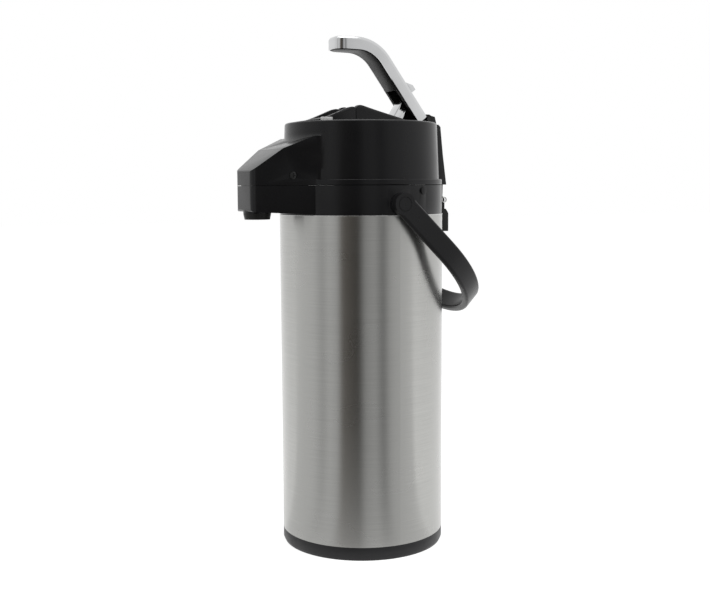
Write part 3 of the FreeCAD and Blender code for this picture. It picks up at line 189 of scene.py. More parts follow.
def moulded(name, dark, light, low, high, grain, shine=0.28):
    """Moulded plastic with a fine skin, faint flow marks and light handling wear."""
    finish = Finish(name)
    skin = finish.noise(finish.points(), scale=2600.0)
    flow = finish.noise(finish.stretched((14.0, 14.0, 5.0)))
    rubbed = finish.noise(finish.points(), scale=55.0, detail=4.0, roughness=0.6)
    finish.set(Metallic=0.0, Specular_IOR_Level=shine)
    finish.shade(flow, dark, light)
    finish.roughness(rubbed, low, high)
    finish.bump(skin, depth=grain, strength=0.5)
    return finish.material


steel = brushed_shell_steel()
flask_steel = plain_steel("drawn_flask_steel", (0.58, 0.585, 0.59), low=0.18, high=0.3)
chrome = plain_steel("lever_chrome", (0.62, 0.625, 0.63), low=0.07, high=0.14, scale=1500.0)
screw_steel = plain_steel("screw_steel", (0.55, 0.55, 0.54), low=0.22, high=0.34)
head_black = moulded(
    "gloss_head_black", dark=(0.0055, 0.0055, 0.006), light=(0.008, 0.008, 0.0085),
    low=0.18, high=0.26, grain=0.000004, shine=0.2,
)
cover_black = moulded(
    "satin_cover_black", dark=(0.009, 0.009, 0.0095), light=(0.013, 0.013, 0.0135),
    low=0.28, high=0.38, grain=0.00001, shine=0.18,
)
core_black = moulded(
    "lever_core_black", dark=(0.008, 0.008, 0.0075), light=(0.014, 0.014, 0.013),
    low=0.32, high=0.45, grain=0.00001, shine=0.16,
)
base_black = moulded(
    "base_ring_grey", dark=(0.012, 0.012, 0.013), light=(0.018, 0.018, 0.019),
    low=0.36, high=0.5, grain=0.00002,
)
bail_black = moulded(
    "bail_black", dark=(0.007, 0.007, 0.0075), light=(0.010, 0.010, 0.0105),
    low=0.24, high=0.34, grain=0.000006, shine=0.18,
)
lock_grey = moulded(
    "lock_light_grey", dark=(0.42, 0.42, 0.415), light=(0.47, 0.47, 0.465),
    low=0.35, high=0.45, grain=0.00001,
)
screw_black = moulded(
    "blackened_screws", dark=(0.008, 0.008, 0.008), light=(0.014, 0.014, 0.014),
    low=0.22, high=0.34, grain=0.00001,
)
white_plastic = moulded(
    "pump_white_plastic", dark=(0.66, 0.66, 0.64), light=(0.72, 0.72, 0.70),
    low=0.35, high=0.45, grain=0.00001,
)
rubber = moulded(
    "seal_rubber", dark=(0.035, 0.034, 0.033), light=(0.05, 0.049, 0.047),
    low=0.6, high=0.75, grain=0.00002,
)

SLOT_FINISH = {
    "steel": steel, "flask_steel": flask_steel, "chrome": chrome,
    "screw_steel": screw_steel, "head_black": head_black, "core_black": core_black,
    "base_black": base_black, "bail_black": bail_black, "lock_grey": lock_grey,
    "screw_black": screw_black, "rubber": rubber,
}
NODE_FINISH = {
    "top_cover": cover_black, "thumb_dish": cover_black, "pump_housing": white_plastic,
    "lid_plate": white_plastic, "pusher": white_plastic, "nozzle": core_black,
    "lever_pin": screw_black,
}


def dress(name, finish):
    """Put one finish on a part as it stands."""
    slots = frame["nodes"][name].data.materials
    slots.clear()
    slots.append(finish)


for entry in frame["record"]["subparts"]:
    word = entry["node"]
    dress(word, NODE_FINISH.get(word) or SLOT_FINISH[entry["material_slot"]])


# ---- ways of making a piece ---------------------------------------------------

SHARP_ANGLE = math.radians(32.0)
BROKEN_ANGLE = math.radians(35.0)
FLAT_ANGLE = math.radians(0.4)
MERGED = 0.000002
ROUNDING_STEPS = 6


def settled(piece, body, slot, *nodes):
    """Hand a finished piece to the frame under its body, and hide the parts that it stands for.
    The slot is not used.
    """
    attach(piece, body)
    if nodes:
        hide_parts(*nodes)


def piece_of(name, mesh, finish):
    """An object from a finished mesh, smooth but for its real edges."""
    mesh.shade_smooth()
    mesh.set_sharp_from_angle(angle=SHARP_ANGLE)
    mesh.materials.clear()
    mesh.materials.append(finish)
    piece = bpy.data.objects.new(name, mesh)
    scene.collection.objects.link(piece)
    return piece


def mesh_of(shape, name):
    """A mesh from a worked shape, which goes."""
    mesh = bpy.data.meshes.new(name)
    shape.to_mesh(mesh)
    shape.free()
    return mesh


def holder_for(mesh):
    """A passing object that carries a mesh through its modifiers."""
    holder = bpy.data.objects.new("holder", mesh)
    scene.collection.objects.link(holder)
    return holder


def built(holder):
    """The holder's mesh with its modifiers built in. The holder goes."""
    bpy.context.view_layer.update()
    graph = bpy.context.evaluated_depsgraph_get()
    mesh = bpy.data.meshes.new_from_object(holder.evaluated_get(graph))
    bpy.data.objects.remove(holder)
    return mesh


def wall_between(shape, first, second, closed):
    """Faces from one row of points to the next."""
    count = len(first)
    for index in range(count if closed else count - 1):
        following = (index + 1) % count
        shape.faces.new((first[index], first[following], second[following], second[index]))


def solid_between(start, end):
    """A closed solid between two matching outlines."""
    shape = bmesh.new()
    first, second = ([shape.verts.new(place) for place in row] for row in (start, end))
    wall_between(shape, first, second, closed=True)
    shape.faces.new(list(reversed(first)))
    shape.faces.new(second)
    bmesh.ops.recalc_face_normals(shape, faces=shape.faces)
    return shape


def side_solid(outline, half):
    """A closed solid from a (y, z) outline, to both sides of the middle."""
    return solid_between(*([(x, y, z) for y, z in outline] for x in (-half, half)))


def round_edges(shape, wanted, radius, segments):
    edges = [edge for edge in shape.edges if wanted(edge)]
    bmesh.ops.bevel(
        shape, geom=edges, offset=radius, offset_type="OFFSET", segments=segments,
        profile=0.5, affect="EDGES", clamp_overlap=True,
    )


def softened(node, width, rounding=()):
    """A part's own shape with its hard corners broken, and chosen ones well rounded."""
    shape = bmesh.new()
    shape.from_mesh(frame["nodes"][node].data)
    bmesh.ops.remove_doubles(shape, verts=shape.verts, dist=MERGED)
    bmesh.ops.dissolve_limit(
        shape, angle_limit=FLAT_ANGLE, verts=shape.verts, edges=shape.edges,
        use_dissolve_boundaries=False,
    )
    for wanted, radius in rounding:
        round_edges(shape, wanted, radius, ROUNDING_STEPS)
    holder = holder_for(mesh_of(shape, node))
    if width:
        bevel = holder.modifiers.new("broken_corners", "BEVEL")
        bevel.width = width
        bevel.segments = 2
        bevel.limit_method = "ANGLE"
        bevel.angle_limit = BROKEN_ANGLE
        bevel.use_clamp_overlap = True
    return built(holder)


# ---- pump lever ------------------------------------------------------------------

PIVOT = (0.0605, 0.367)
ARM_ANGLE = math.radians(53.3)
ARM_LENGTH = 0.0828
PAD_LENGTH = 0.0392
PAD_ANGLE = math.radians(0.5)
LEVER_HALF = 0.0125
LEVER_DEPTH = 0.0108
LEVER_TOP = 0.001
LEVER_BEND = 0.038
LEVER_WALL = 0.0012
COVER_START = 0.003
COVER_TIP_ROUND = 0.0095
COVER_EDGE_ROUND = 0.0036
COVER_KNUCKLE = 0.004
CORE_START = 0.037
CORE_SHORT = 0.0016
CORE_STAND = 0.0006
CORE_GAP = 0.0001
CORE_TIP_ROUND = 0.0082
CORE_EDGE_ROUND = 0.0008
CHEEK_END = 0.040
CHEEK_FOOT = 0.012
CHEEK_HALF = 0.0014
CHEEK_INSET = 0.0016
EYE_RADIUS = 0.0042
TIP_NEAR = 0.0006
TIP_SIDE = 0.003
TIP_STEPS = 8
CREASE = 1.2
ON_BAND = 0.00002
ON_CUT = 0.00005
ON_START = 0.0001


def on_arm(along, off):
    """The (y, z) of a place on the arm: along it from the pivot, and off its line."""
    y = PIVOT[0] - along * math.cos(ARM_ANGLE) + off * math.sin(ARM_ANGLE)
    z = PIVOT[1] + along * math.sin(ARM_ANGLE) + off * math.cos(ARM_ANGLE)
    return y, z


BEND_RUN = LEVER_BEND * math.tan((ARM_ANGLE - PAD_ANGLE) / 2)
BEND_CENTRE = on_arm(ARM_LENGTH - BEND_RUN, LEVER_TOP - LEVER_BEND)


def lever_line(off, start, short, steps=14):
    """The lever's side line at one offset: up the arm, round the bend, along the pad."""
    radius = LEVER_BEND - LEVER_TOP + off
    points = [on_arm(start, off)]
    for step in range(steps + 1):
        angle = ARM_ANGLE - (ARM_ANGLE - PAD_ANGLE) * step / steps
        points.append((
            BEND_CENTRE[0] + radius * math.sin(angle), BEND_CENTRE[1] + radius * math.cos(angle),
        ))
    reach = PAD_LENGTH - BEND_RUN - short
    last = points[-1]
    points.append((
        last[0] - reach * math.cos(PAD_ANGLE), last[1] + reach * math.sin(PAD_ANGLE),
    ))
    return points


def at_tip(edge, tip):
    """The lever's two upright corners at the pad's end."""
    first, second = (vert.co for vert in edge.verts)
    upright = abs(first.z - second.z) > 0.8 * (first - second).length
    return upright and max(first.y, second.y) < tip + TIP_NEAR and abs(first.x) > TIP_SIDE


def band_off(point):
    """How far a point lies above the arm's or the pad's pivot line."""
    y, z = point.y - PIVOT[0], point.z - PIVOT[1]
    arm = y * math.sin(ARM_ANGLE) + z * math.cos(ARM_ANGLE)
    along = -y * math.cos(ARM_ANGLE) + z * math.sin(ARM_ANGLE)
    if along < ARM_LENGTH - BEND_RUN:
        return arm
    dy, dz = point.y - BEND_CENTRE[0], point.z - BEND_CENTRE[1]
    angle = math.atan2(dy, dz)
    if angle > PAD_ANGLE:
        return math.hypot(dy, dz) - LEVER_BEND + LEVER_TOP
    pad = dy * math.sin(PAD_ANGLE) + dz * math.cos(PAD_ANGLE)
    return pad - LEVER_BEND + LEVER_TOP


def on_band(element, off):
    """Whether an edge or a face lies wholly on one offset of the lever."""
    return all(abs(band_off(vert.co) - off) < ON_BAND for vert in element.verts)


def lever_solid(top, bottom, start, short, half, tip_round):
    upper = lever_line(top, start, short)
    lower = lever_line(bottom, start, short)
    shape = side_solid(upper + list(reversed(lower)), half)
    tip = max(upper[-1][0], lower[-1][0])
    round_edges(shape, lambda edge: at_tip(edge, tip), tip_round, TIP_STEPS)
    return shape


def eye(shape, x, radius, thickness, steps=24):
    """A round boss on one cheek, about the lever's pivot."""
    rings = []
    for place in (x, x + thickness):
        rings.append([
            shape.verts.new((
                place,
                PIVOT[0] + radius * math.cos(2 * math.pi * step / steps),
                PIVOT[1] + radius * math.sin(2 * math.pi * step / steps),
            ))
            for step in range(steps)
        ])
    made = [shape.faces.new(rings[0]), shape.faces.new(list(reversed(rings[1])))]
    for step in range(steps):
        following = (step + 1) % steps
        made.append(shape.faces.new((
            rings[0][step], rings[1][step], rings[1][following], rings[0][following],
        )))
    bmesh.ops.recalc_face_normals(shape, faces=made)


def cover_shoulder(edge):
    """The long upper edges of the cover, from its foot to its tip."""
    if not on_band(edge, LEVER_TOP) or len(edge.link_faces) != 2:
        return False
    start = on_arm(COVER_START, LEVER_TOP)[0]
    return (
        edge.calc_face_angle(0.0) > CREASE
        and max(vert.co.y for vert in edge.verts) < on_arm(COVER_KNUCKLE, 0)[0] + COVER_KNUCKLE
        and not all(abs(vert.co.y - start) < ON_START for vert in edge.verts)
    )


def cover_opening(face):
    """The cover's underside and its end at the pivot, which are open."""
    if all(band_off(vert.co) < LEVER_TOP - LEVER_DEPTH + ON_BAND for vert in face.verts):
        return True
    return all(
        abs(vert.co.y - on_arm(COVER_START, 0)[0]) < COVER_TIP_ROUND
        and abs((vert.co.y - PIVOT[0]) * -math.cos(ARM_ANGLE)
                + (vert.co.z - PIVOT[1]) * math.sin(ARM_ANGLE) - COVER_START) < ON_CUT
        for vert in face.verts
    )


def chrome_cover():
    """The pressed cover: a channel with a rounded back, open underneath."""
    shape = lever_solid(
        LEVER_TOP, LEVER_TOP - LEVER_DEPTH, COVER_START, 0.0, LEVER_HALF, COVER_TIP_ROUND,
    )
    round_edges(shape, cover_shoulder, COVER_EDGE_ROUND, ROUNDING_STEPS)
    open_side = [face for face in shape.faces if cover_opening(face)]
    bmesh.ops.delete(shape, geom=open_side, context="FACES")
    bmesh.ops.recalc_face_normals(shape, faces=shape.faces)
    holder = holder_for(mesh_of(shape, "chrome_cover"))
    wall = holder.modifiers.new("wall", "SOLIDIFY")
    wall.thickness = LEVER_WALL
    wall.offset = -1.0
    wall.use_even_offset = True
    wall.use_rim = True
    return built(holder)


def black_core():
    """The moulded core that fills the cover, forked round the pump link."""
    inner = LEVER_HALF - LEVER_WALL
    top = LEVER_TOP - LEVER_WALL
    bottom = LEVER_TOP - LEVER_DEPTH - CORE_STAND
    shape = lever_solid(top, bottom, CORE_START, CORE_SHORT, inner - CORE_GAP, CORE_TIP_ROUND)
    round_edges(
        shape, lambda edge: on_band(edge, bottom) and edge.calc_face_angle(0.0) > 1.0,
        CORE_EDGE_ROUND, 2,
    )
    outline = [
        on_arm(0.0, -EYE_RADIUS), on_arm(0.0, top), on_arm(CHEEK_END, top),
        on_arm(CHEEK_END, bottom), on_arm(CHEEK_FOOT, bottom + CORE_STAND),
    ]
    for side in (-1, 1):
        middle = side * (inner - CHEEK_INSET)
        cheek = side_solid(outline, CHEEK_HALF)
        bmesh.ops.translate(cheek, verts=cheek.verts, vec=(middle, 0, 0))
        part = mesh_of(cheek, "core_cheek")
        shape.from_mesh(part)
        bpy.data.meshes.remove(part)
        eye(shape, middle - CHEEK_HALF, EYE_RADIUS, CHEEK_HALF * 2)
    return mesh_of(shape, "black_core")


settled(piece_of("lever_chrome_cover", chrome_cover(), chrome), "lever", "chrome",
        "lever_cover")
settled(piece_of("lever_black_core", black_core(), core_black), "lever", "core_black",
        "lever_core")


# ---- moulded parts with broken corners ---------------------------------------------

RIM = 0.3625
SPOUT_SEAM = 0.310
LIP_RADIUS = 0.0692
LIP_HEIGHTS = (0.3103, 0.315)
LIP_FRONT = -0.066
BEAK_FRONT = -0.0725
BEAK_RISE = 0.006
ON_LIP = 0.00005


def turns_outward(edge, least):
    return len(edge.link_faces) == 2 and edge.is_convex and edge.calc_face_angle(0.0) > least


def beak_edge(edge):
    """The spout's outer top edges, clear of the drum that it grows from."""
    return turns_outward(edge, 0.4) and all(
        vert.co.y < BEAK_FRONT and vert.co.z > SPOUT_SEAM + BEAK_RISE for vert in edge.verts
    )


def lip_edge(edge):
    """The lip's two outer corners, round the foot of the drum."""
    return turns_outward(edge, 0.8) and all(
        math.hypot(vert.co.x, vert.co.y) > LIP_RADIUS and vert.co.y > LIP_FRONT
        and min(abs(vert.co.z - height) for height in LIP_HEIGHTS) < ON_LIP
        for vert in edge.verts
    ) and abs(edge.verts[0].co.z - edge.verts[1].co.z) < ON_LIP


# Side outlines of the hump and of the dish's rim, front to back, (y, z).
HUMP_LINE = (
    (-0.0131, 0.3744), (-0.0120, 0.3762), (-0.0095, 0.3770), (-0.0060, 0.3766),
    (0.0030, 0.3740), (0.0160, 0.3706), (0.0300, 0.3671), (0.0380, 0.3654), (0.0460, 0.3627),
)
DISH_LINE = (
    (-0.0581, 0.3633), (-0.0520, 0.3640), (-0.0455, 0.3649), (-0.0390, 0.3670),
    (-0.0300, 0.3706), (-0.0220, 0.3740), (-0.0175, 0.3753), (-0.0150, 0.3752),
    (-0.0136, 0.3744),
)


def smooth_line(points, steps=6):
    """A flowing line through a few points."""
    ends = [points[0], *points, points[-1]]
    line = []
    for index in range(1, len(ends) - 2):
        before, here, there, after = (Vector(ends[index + k]) for k in (-1, 0, 1, 2))
        for step in range(steps):
            share = step / steps
            pull, push = (there - before) / 2, (after - here) / 2
            line.append(
                (2 * share ** 3 - 3 * share ** 2 + 1) * here
                + (share ** 3 - 2 * share ** 2 + share) * pull
                + (3 * share ** 2 - 2 * share ** 3) * there
                + (share ** 3 - share ** 2) * push
            )
    return [tuple(point) for point in (*line, Vector(points[-1]))]


def kept_inside(mesh, *keepers):
    """What of a mesh lies inside every one of some closed shapes."""
    holder = holder_for(mesh)
    others = []
    for keeper in keepers:
        others.append(holder_for(mesh_of(keeper, "keeper")))
        trim = holder.modifiers.new("trim", "BOOLEAN")
        trim.operation = "INTERSECT"
        trim.solver = "EXACT"
        trim.use_self = True
        trim.object = others[-1]
    finished = built(holder)
    for other in others:
        bpy.data.objects.remove(other)
    return finished


def hump_cover(reach=0.08, depth=0.02, clear=0.0001):
    """The top cover with its two cheeks cut to the hump's rounded line."""
    line = smooth_line(HUMP_LINE)
    below, above = RIM - depth, RIM + clear
    outline = [
        (-reach, below), (-reach, above), (line[0][0], above), *line,
        (line[-1][0], above), (reach, above), (reach, below),
    ]
    return kept_inside(softened("top_cover", 0.0007), side_solid(outline, reach))


DISH_FRONT = -0.058
DISH_BACK = -0.013
DISH_HALF = 0.0181
DISH_ROUND = 0.0155


def dish_with_round_front():
    """The thumb dish, its front a half round in plan and its rim a flowing line."""
    line = smooth_line(DISH_LINE)
    foot = RIM - 0.01
    before = DISH_FRONT - 0.002
    side = side_solid([
        (before, foot), (before, line[0][1]), *line, (DISH_BACK, line[-1][1]), (DISH_BACK, foot),
    ], 0.03)
    corner = -DISH_HALF + DISH_ROUND, DISH_FRONT + DISH_ROUND
    outline = [(-DISH_HALF, DISH_BACK), (-DISH_HALF, corner[1])]
    for step in range(1, 13):
        angle = math.pi + math.pi / 2 * step / 12
        outline.append((
            corner[0] + DISH_ROUND * math.cos(angle), corner[1] + DISH_ROUND * math.sin(angle),
        ))
    outline += [(-x, y) for x, y in reversed(outline)]
    plan = solid_between(*([(x, y, z) for x, y in outline] for z in (RIM - 0.004, RIM + 0.03)))
    return kept_inside(softened("thumb_dish", 0.0005), plan, side)


CATCH_TURN = math.radians(1.5)
CATCH_MOVE = 0.008


def catch_on_arm():
    """The catch laid on the arm's own slope, nearer the lever's foot."""
    mesh = softened("lever_catch", 0.0003)
    hinge = Vector((0, *PIVOT))
    slide = Vector((0, CATCH_MOVE * math.cos(ARM_ANGLE), -CATCH_MOVE * math.sin(ARM_ANGLE)))
    mesh.transform(
        Matrix.Translation(slide + hinge) @ Matrix.Rotation(-CATCH_TURN, 4, "X")
        @ Matrix.Translation(-hinge)
    )
    return mesh


# Part, body that carries it, width of its broken corners, finish, edges to round more.
SOFT_PARTS = (
    ("head_shell", "lid", 0, head_black, ((beak_edge, 0.0042), (lip_edge, 0.0008))),
    ("shoulder_ring", "body", 0.0005, head_black, ()),
    ("rear_spine", "lid", 0.0005, cover_black, ()),
    ("hinge_bracket", "body", 0.0005, core_black, ()),
    ("lever_lock", "lock", 0.0005, lock_grey, ()),
    ("base_ring", "body", 0.0006, base_black, ()),
    ("pump_link", "link", 0.0005, chrome, ()),
)
SLOT_OF = {entry["node"]: entry["material_slot"] for entry in frame["record"]["subparts"]}
for word, carrier, width, finish, rounding in SOFT_PARTS:
    settled(
        piece_of(f"{word}_moulded", softened(word, width, rounding), finish),
        carrier, SLOT_OF[word], word,
    )
for word, carrier, shaped, finish in (
    ("lever_catch", "lever", catch_on_arm(), chrome),
    ("thumb_dish", "lid", dish_with_round_front(), cover_black),
    ("top_cover", "lid", hump_cover(), cover_black),
):
    settled(piece_of(f"{word}_moulded", shaped, finish), carrier, SLOT_OF[word], word)


# ---- repeated and following pieces -------------------------------------------------

def grown(name, build, inputs):
    """A mesh from a Geometry Nodes tree with named inputs."""
    tree = bpy.data.node_groups.new(name, "GeometryNodeTree")
    tree.interface.new_socket("Geometry", in_out="OUTPUT", socket_type="NodeSocketGeometry")
    sockets = {
        word: tree.interface.new_socket(
            word, in_out="INPUT",
            socket_type="NodeSocketInt" if isinstance(value, int) else "NodeSocketFloat",
        )
        for word, value in inputs.items()
    }
    entry = tree.nodes.new("NodeGroupInput")
    leave = tree.nodes.new("NodeGroupOutput")
    shape = build(tree, entry.outputs)
    real = tree.nodes.new("GeometryNodeRealizeInstances")
    paint = tree.nodes.new("GeometryNodeSetMaterial")
    tree.links.new(shape, real.inputs[0])
    tree.links.new(real.outputs[0], paint.inputs["Geometry"])
    tree.links.new(paint.outputs[0], leave.inputs[0])
    holder = holder_for(bpy.data.meshes.new(name))
    modifier = holder.modifiers.new(name, "NODES")
    modifier.node_group = tree
    for word, value in inputs.items():
        modifier[sockets[word].identifier] = value
    return built(holder)


def moved(tree, shape, place, turned=None):
    """A shape put in its place, and turned first if it has to be."""
    node = tree.nodes.new("GeometryNodeTransform")
    tree.links.new(shape, node.inputs["Geometry"])
    tree.links.new(place, node.inputs["Translation"])
    if turned is not None:
        tree.links.new(turned, node.inputs["Rotation"])
    return node.outputs["Geometry"]


def rolled_edge(tree, sizes):
    """A thin bead round the shell's top edge."""
    path = tree.nodes.new("GeometryNodeCurvePrimitiveCircle")
    path.inputs["Resolution"].default_value = 160
    tree.links.new(sizes["Radius"], path.inputs["Radius"])
    profile = tree.nodes.new("GeometryNodeCurvePrimitiveCircle")
    profile.inputs["Resolution"].default_value = 10
    tree.links.new(sizes["Bead"], profile.inputs["Radius"])
    sweep = tree.nodes.new("GeometryNodeCurveToMesh")
    tree.links.new(path.outputs["Curve"], sweep.inputs["Curve"])
    tree.links.new(profile.outputs["Curve"], sweep.inputs["Profile Curve"])
    return moved(tree, sweep.outputs["Mesh"], point_of(tree, Z=sizes["Height"]))


settled(
    piece_of(
        "shell_rolled_edge",
        grown("rolled_edge", rolled_edge, {"Radius": 0.0698, "Bead": 0.0004, "Height": 0.2856}),
        screw_steel,
    ),
    "body", "steel",
)


def round_bar(tree, radius, length, low):
    """An upright round bar that stands at a height."""
    node = tree.nodes.new("GeometryNodeMeshCylinder")
    node.inputs["Vertices"].default_value = 36
    tree.links.new(radius, node.inputs["Radius"])
    tree.links.new(length, node.inputs["Depth"])
    middle = worked(tree, "ADD", low, worked(tree, "MULTIPLY", length, 0.5))
    return moved(tree, node.outputs["Mesh"], point_of(tree, Z=middle))


def cut(tree, kind, first, others):
    """One shape met with or cut by others."""
    node = tree.nodes.new("GeometryNodeMeshBoolean")
    node.operation = kind
    node.solver = "EXACT"
    node.inputs["Self Intersection"].default_value = True
    tree.links.new(first, node.inputs["Mesh 1" if kind == "DIFFERENCE" else "Mesh 2"])
    for other in others:
        tree.links.new(other, node.inputs["Mesh 2"])
    return node.outputs["Mesh"]


HIDDEN_LAP = 0.00005


def crossed_screw(tree, sizes):
    """One screw, head down: a domed head with a crossed slot, and its shank above."""
    head = round_bar(tree, sizes["Head Radius"], sizes["Head Height"], 0.0)
    ball = tree.nodes.new("GeometryNodeMeshUVSphere")
    ball.inputs["Segments"].default_value = 72
    ball.inputs["Rings"].default_value = 72
    tree.links.new(sizes["Dome Radius"], ball.inputs["Radius"])
    dome = moved(tree, ball.outputs["Mesh"], point_of(tree, Z=sizes["Dome Radius"]))
    head = cut(tree, "INTERSECT", head, [dome])
    through = worked(tree, "MULTIPLY", sizes["Slot Depth"], 2)
    arms = []
    for across, along in (("Slot Length", "Slot Width"), ("Slot Width", "Slot Length")):
        bar = tree.nodes.new("GeometryNodeMeshCube")
        size = point_of(tree, X=sizes[across], Y=sizes[along], Z=through)
        tree.links.new(size, bar.inputs["Size"])
        arms.append(bar.outputs["Mesh"])
    head = cut(tree, "DIFFERENCE", head, arms)
    shank = round_bar(
        tree, sizes["Shank Radius"], sizes["Shank Length"],
        worked(tree, "SUBTRACT", sizes["Head Height"], HIDDEN_LAP),
    )
    whole = tree.nodes.new("GeometryNodeJoinGeometry")
    tree.links.new(head, whole.inputs[0])
    tree.links.new(shank, whole.inputs[0])
    return whole.outputs[0]


def row_of_screws(tree, sizes):
    """Screws spaced round a circle, their heads facing down or tilted outward."""
    number = tree.nodes.new("GeometryNodeInputIndex").outputs[0]
    step = worked(tree, "DIVIDE", 2 * math.pi, sizes["Count"])
    angle = worked(tree, "ADD", worked(tree, "MULTIPLY", step, number), sizes["First Angle"])
    places = tree.nodes.new("GeometryNodePoints")
    tree.links.new(sizes["Count"], places.inputs["Count"])
    place = point_of(
        tree,
        X=worked(tree, "MULTIPLY", sizes["Circle"], worked(tree, "COSINE", angle)),
        Y=worked(tree, "MULTIPLY", sizes["Circle"], worked(tree, "SINE", angle)),
    )
    tree.links.new(place, places.inputs["Position"])
    heading = worked(
        tree, "ADD", sizes["Turn"], worked(tree, "MULTIPLY", sizes["Turn Step"], number),
    )
    stand = tree.nodes.new("GeometryNodeInstanceOnPoints")
    tree.links.new(places.outputs[0], stand.inputs["Points"])
    tree.links.new(crossed_screw(tree, sizes), stand.inputs["Instance"])
    tree.links.new(point_of(tree, Y=sizes["Tilt"], Z=heading), stand.inputs["Rotation"])
    return moved(tree, stand.outputs[0], point_of(tree, Y=sizes["Setback"], Z=sizes["Level"]))


def reach_of(node, axis):
    """A part's lowest and highest place along one axis."""
    places = [vert.co[axis] for vert in frame["nodes"][node].data.vertices]
    return min(places), max(places)


def screws_for(node, head, height, shank, **row):
    """A row of screws; they stand where the part does unless the row says otherwise."""
    low, high = reach_of(node, 2)
    sizes = {
        "Count": 2, "Circle": 0.0, "First Angle": 0.0, "Head Radius": head,
        "Head Height": height, "Dome Radius": head * 3.0, "Slot Length": head * 1.15,
        "Slot Width": head * 0.26, "Slot Depth": min(0.0011, height * 0.6),
        "Shank Radius": shank, "Shank Length": high - low - height,
        "Tilt": 0.0, "Turn": 0.0, "Turn Step": 0.0, "Setback": 0.0, "Level": low,
    }
    sizes.update({word.replace("_", " "): value for word, value in row.items()})
    sizes["Shank Length"] += HIDDEN_LAP
    return grown(f"{node}_row", row_of_screws, sizes)


BASE_HEAD = 0.0028
BASE_CIRCLE = (reach_of("base_screws", 0)[1] - BASE_HEAD) * math.sqrt(2)
LID_CIRCLE = 0.06025
QUARTERS = {"Count": 4, "First_Angle": math.radians(45)}
SCREW_ROWS = (
    ("base_screws", "body", screw_steel, screws_for(
        "base_screws", head=BASE_HEAD, height=0.0018, shank=0.0013, Circle=BASE_CIRCLE,
        **QUARTERS,
    )),
    ("lid_screws", "lid", screw_steel, screws_for(
        "lid_screws", head=0.0030, height=0.0018, shank=0.0015, Circle=LID_CIRCLE, **QUARTERS,
    )),
    ("side_screws", "lid", screw_black, screws_for(
        "side_screws", head=0.0030, height=0.0030, shank=0.0028, Shank_Length=0.0028,
        Circle=0.0306, Tilt=-math.pi / 2, Turn_Step=math.pi, Setback=-0.0760, Level=0.3183,
    )),
    ("bracket_screws", "body", screw_steel, screws_for(
        "bracket_screws", head=0.0024, height=0.0010, shank=0.0020, Shank_Length=0.0007,
        Circle=0.0070, Tilt=-math.pi / 2, Turn=math.pi / 2, Setback=0.0817, Level=0.2743,
    )),
)
for word, carrier, finish, shaped in SCREW_ROWS:
    settled(piece_of(f"{word}_row", shaped, finish), carrier, SLOT_OF[word], word)


def upright_strip(name, outline, low, high, wall):
    """A thin wall that stands on an open outline in plan."""
    shape = bmesh.new()
    foot, head = ([shape.verts.new((x, y, z)) for x, y in outline] for z in (low, high))
    wall_between(shape, foot, head, closed=False)
    holder = holder_for(mesh_of(shape, name))
    thick = holder.modifiers.new("wall", "SOLIDIFY")
    thick.thickness = wall
    thick.offset = 0.0
    shape = bmesh.new()
    shape.from_mesh(built(holder))
    bmesh.ops.recalc_face_normals(shape, faces=shape.faces)
    return mesh_of(shape, name)


def seam_lip():
    """A tongue just inside the spout's seam, so that no light passes through it."""
    tip, tip_half, root, slope, corner = 0.1044, 0.0149, 0.0630, 0.3734, 0.0038
    outline = [(tip_half + slope * (tip - root), -root)]
    centre = (tip_half - corner + 0.0009, -tip + corner)
    for step in range(9):
        angle = math.radians(-20 - 70 * step / 8)
        outline.append((
            centre[0] + corner * math.cos(angle), centre[1] + corner * math.sin(angle),
        ))
    outline += [(-x, y) for x, y in reversed(outline)]
    below, above, wall = 0.0030, 0.0016, 0.0008
    return upright_strip("seam_lip", outline, SPOUT_SEAM - below, SPOUT_SEAM + above, wall)


def ring_seal():
    """The soft ring that the closed head rests on, standing on the shoulder's deck. It is also a
    dark wall behind the seam round the drum, put there as painted shade: no light passes
    through, so the seam shows dark.
    """
    radius, front, steps = 0.0662, math.radians(17), 120
    outline = []
    for step in range(steps + 1):
        angle = -math.pi / 2 + front + (2 * math.pi - 2 * front) * step / steps
        outline.append((radius * math.cos(angle), radius * math.sin(angle)))
    foot, stand, wall = 0.2986, 0.00025, 0.0010
    return upright_strip("ring_seal", outline, foot, SPOUT_SEAM + stand, wall)


# The rubber ring doubles as painted shade behind the seam round the drum, which keeps that seam
# dark.
settled(piece_of("shoulder_ring_seal", ring_seal(), rubber), "body", "rubber")
settled(piece_of("spout_seam_lip", seam_lip(), head_black), "body", "head_black")


# ---- studio ------------------------------------------------------------------

VIEW_AZIMUTH = 63.45
VIEW_DISTANCE = 0.935
VIEW_HEIGHT = 0.310
VIEW_PITCH = 6.33
VIEW_ROLL = -0.29
VIEW_OFFSET = 0.0056
LENS = 54.66
SENSOR_WIDTH = 36.0
ROOM_LEVEL = 0.5
WHITE = (1.0, 1.0, 1.0, 1.0)

turn = math.radians(VIEW_AZIMUTH)
right = Vector((math.cos(turn), math.sin(turn), 0))
forward = Vector((-math.sin(turn), math.cos(turn), 0))


def seen_directly(tree):
    """1 where a ray comes from the camera, a mirror or a clear piece, and 0 elsewhere."""
    path = tree.nodes.new("ShaderNodeLightPath")
    first = worked(
        tree, "MAXIMUM", path.outputs["Is Camera Ray"], path.outputs["Is Glossy Ray"],
    )
    return worked(tree, "MAXIMUM", first, path.outputs["Is Transmission Ray"])


def facing(tree, direction, axis):
    """How far a direction points along an axis of the room."""
    product = tree.nodes.new("ShaderNodeVectorMath")
    product.operation = "DOT_PRODUCT"
    tree.links.new(direction, product.inputs[0])
    product.inputs[1].default_value = axis
    return product.outputs["Value"]


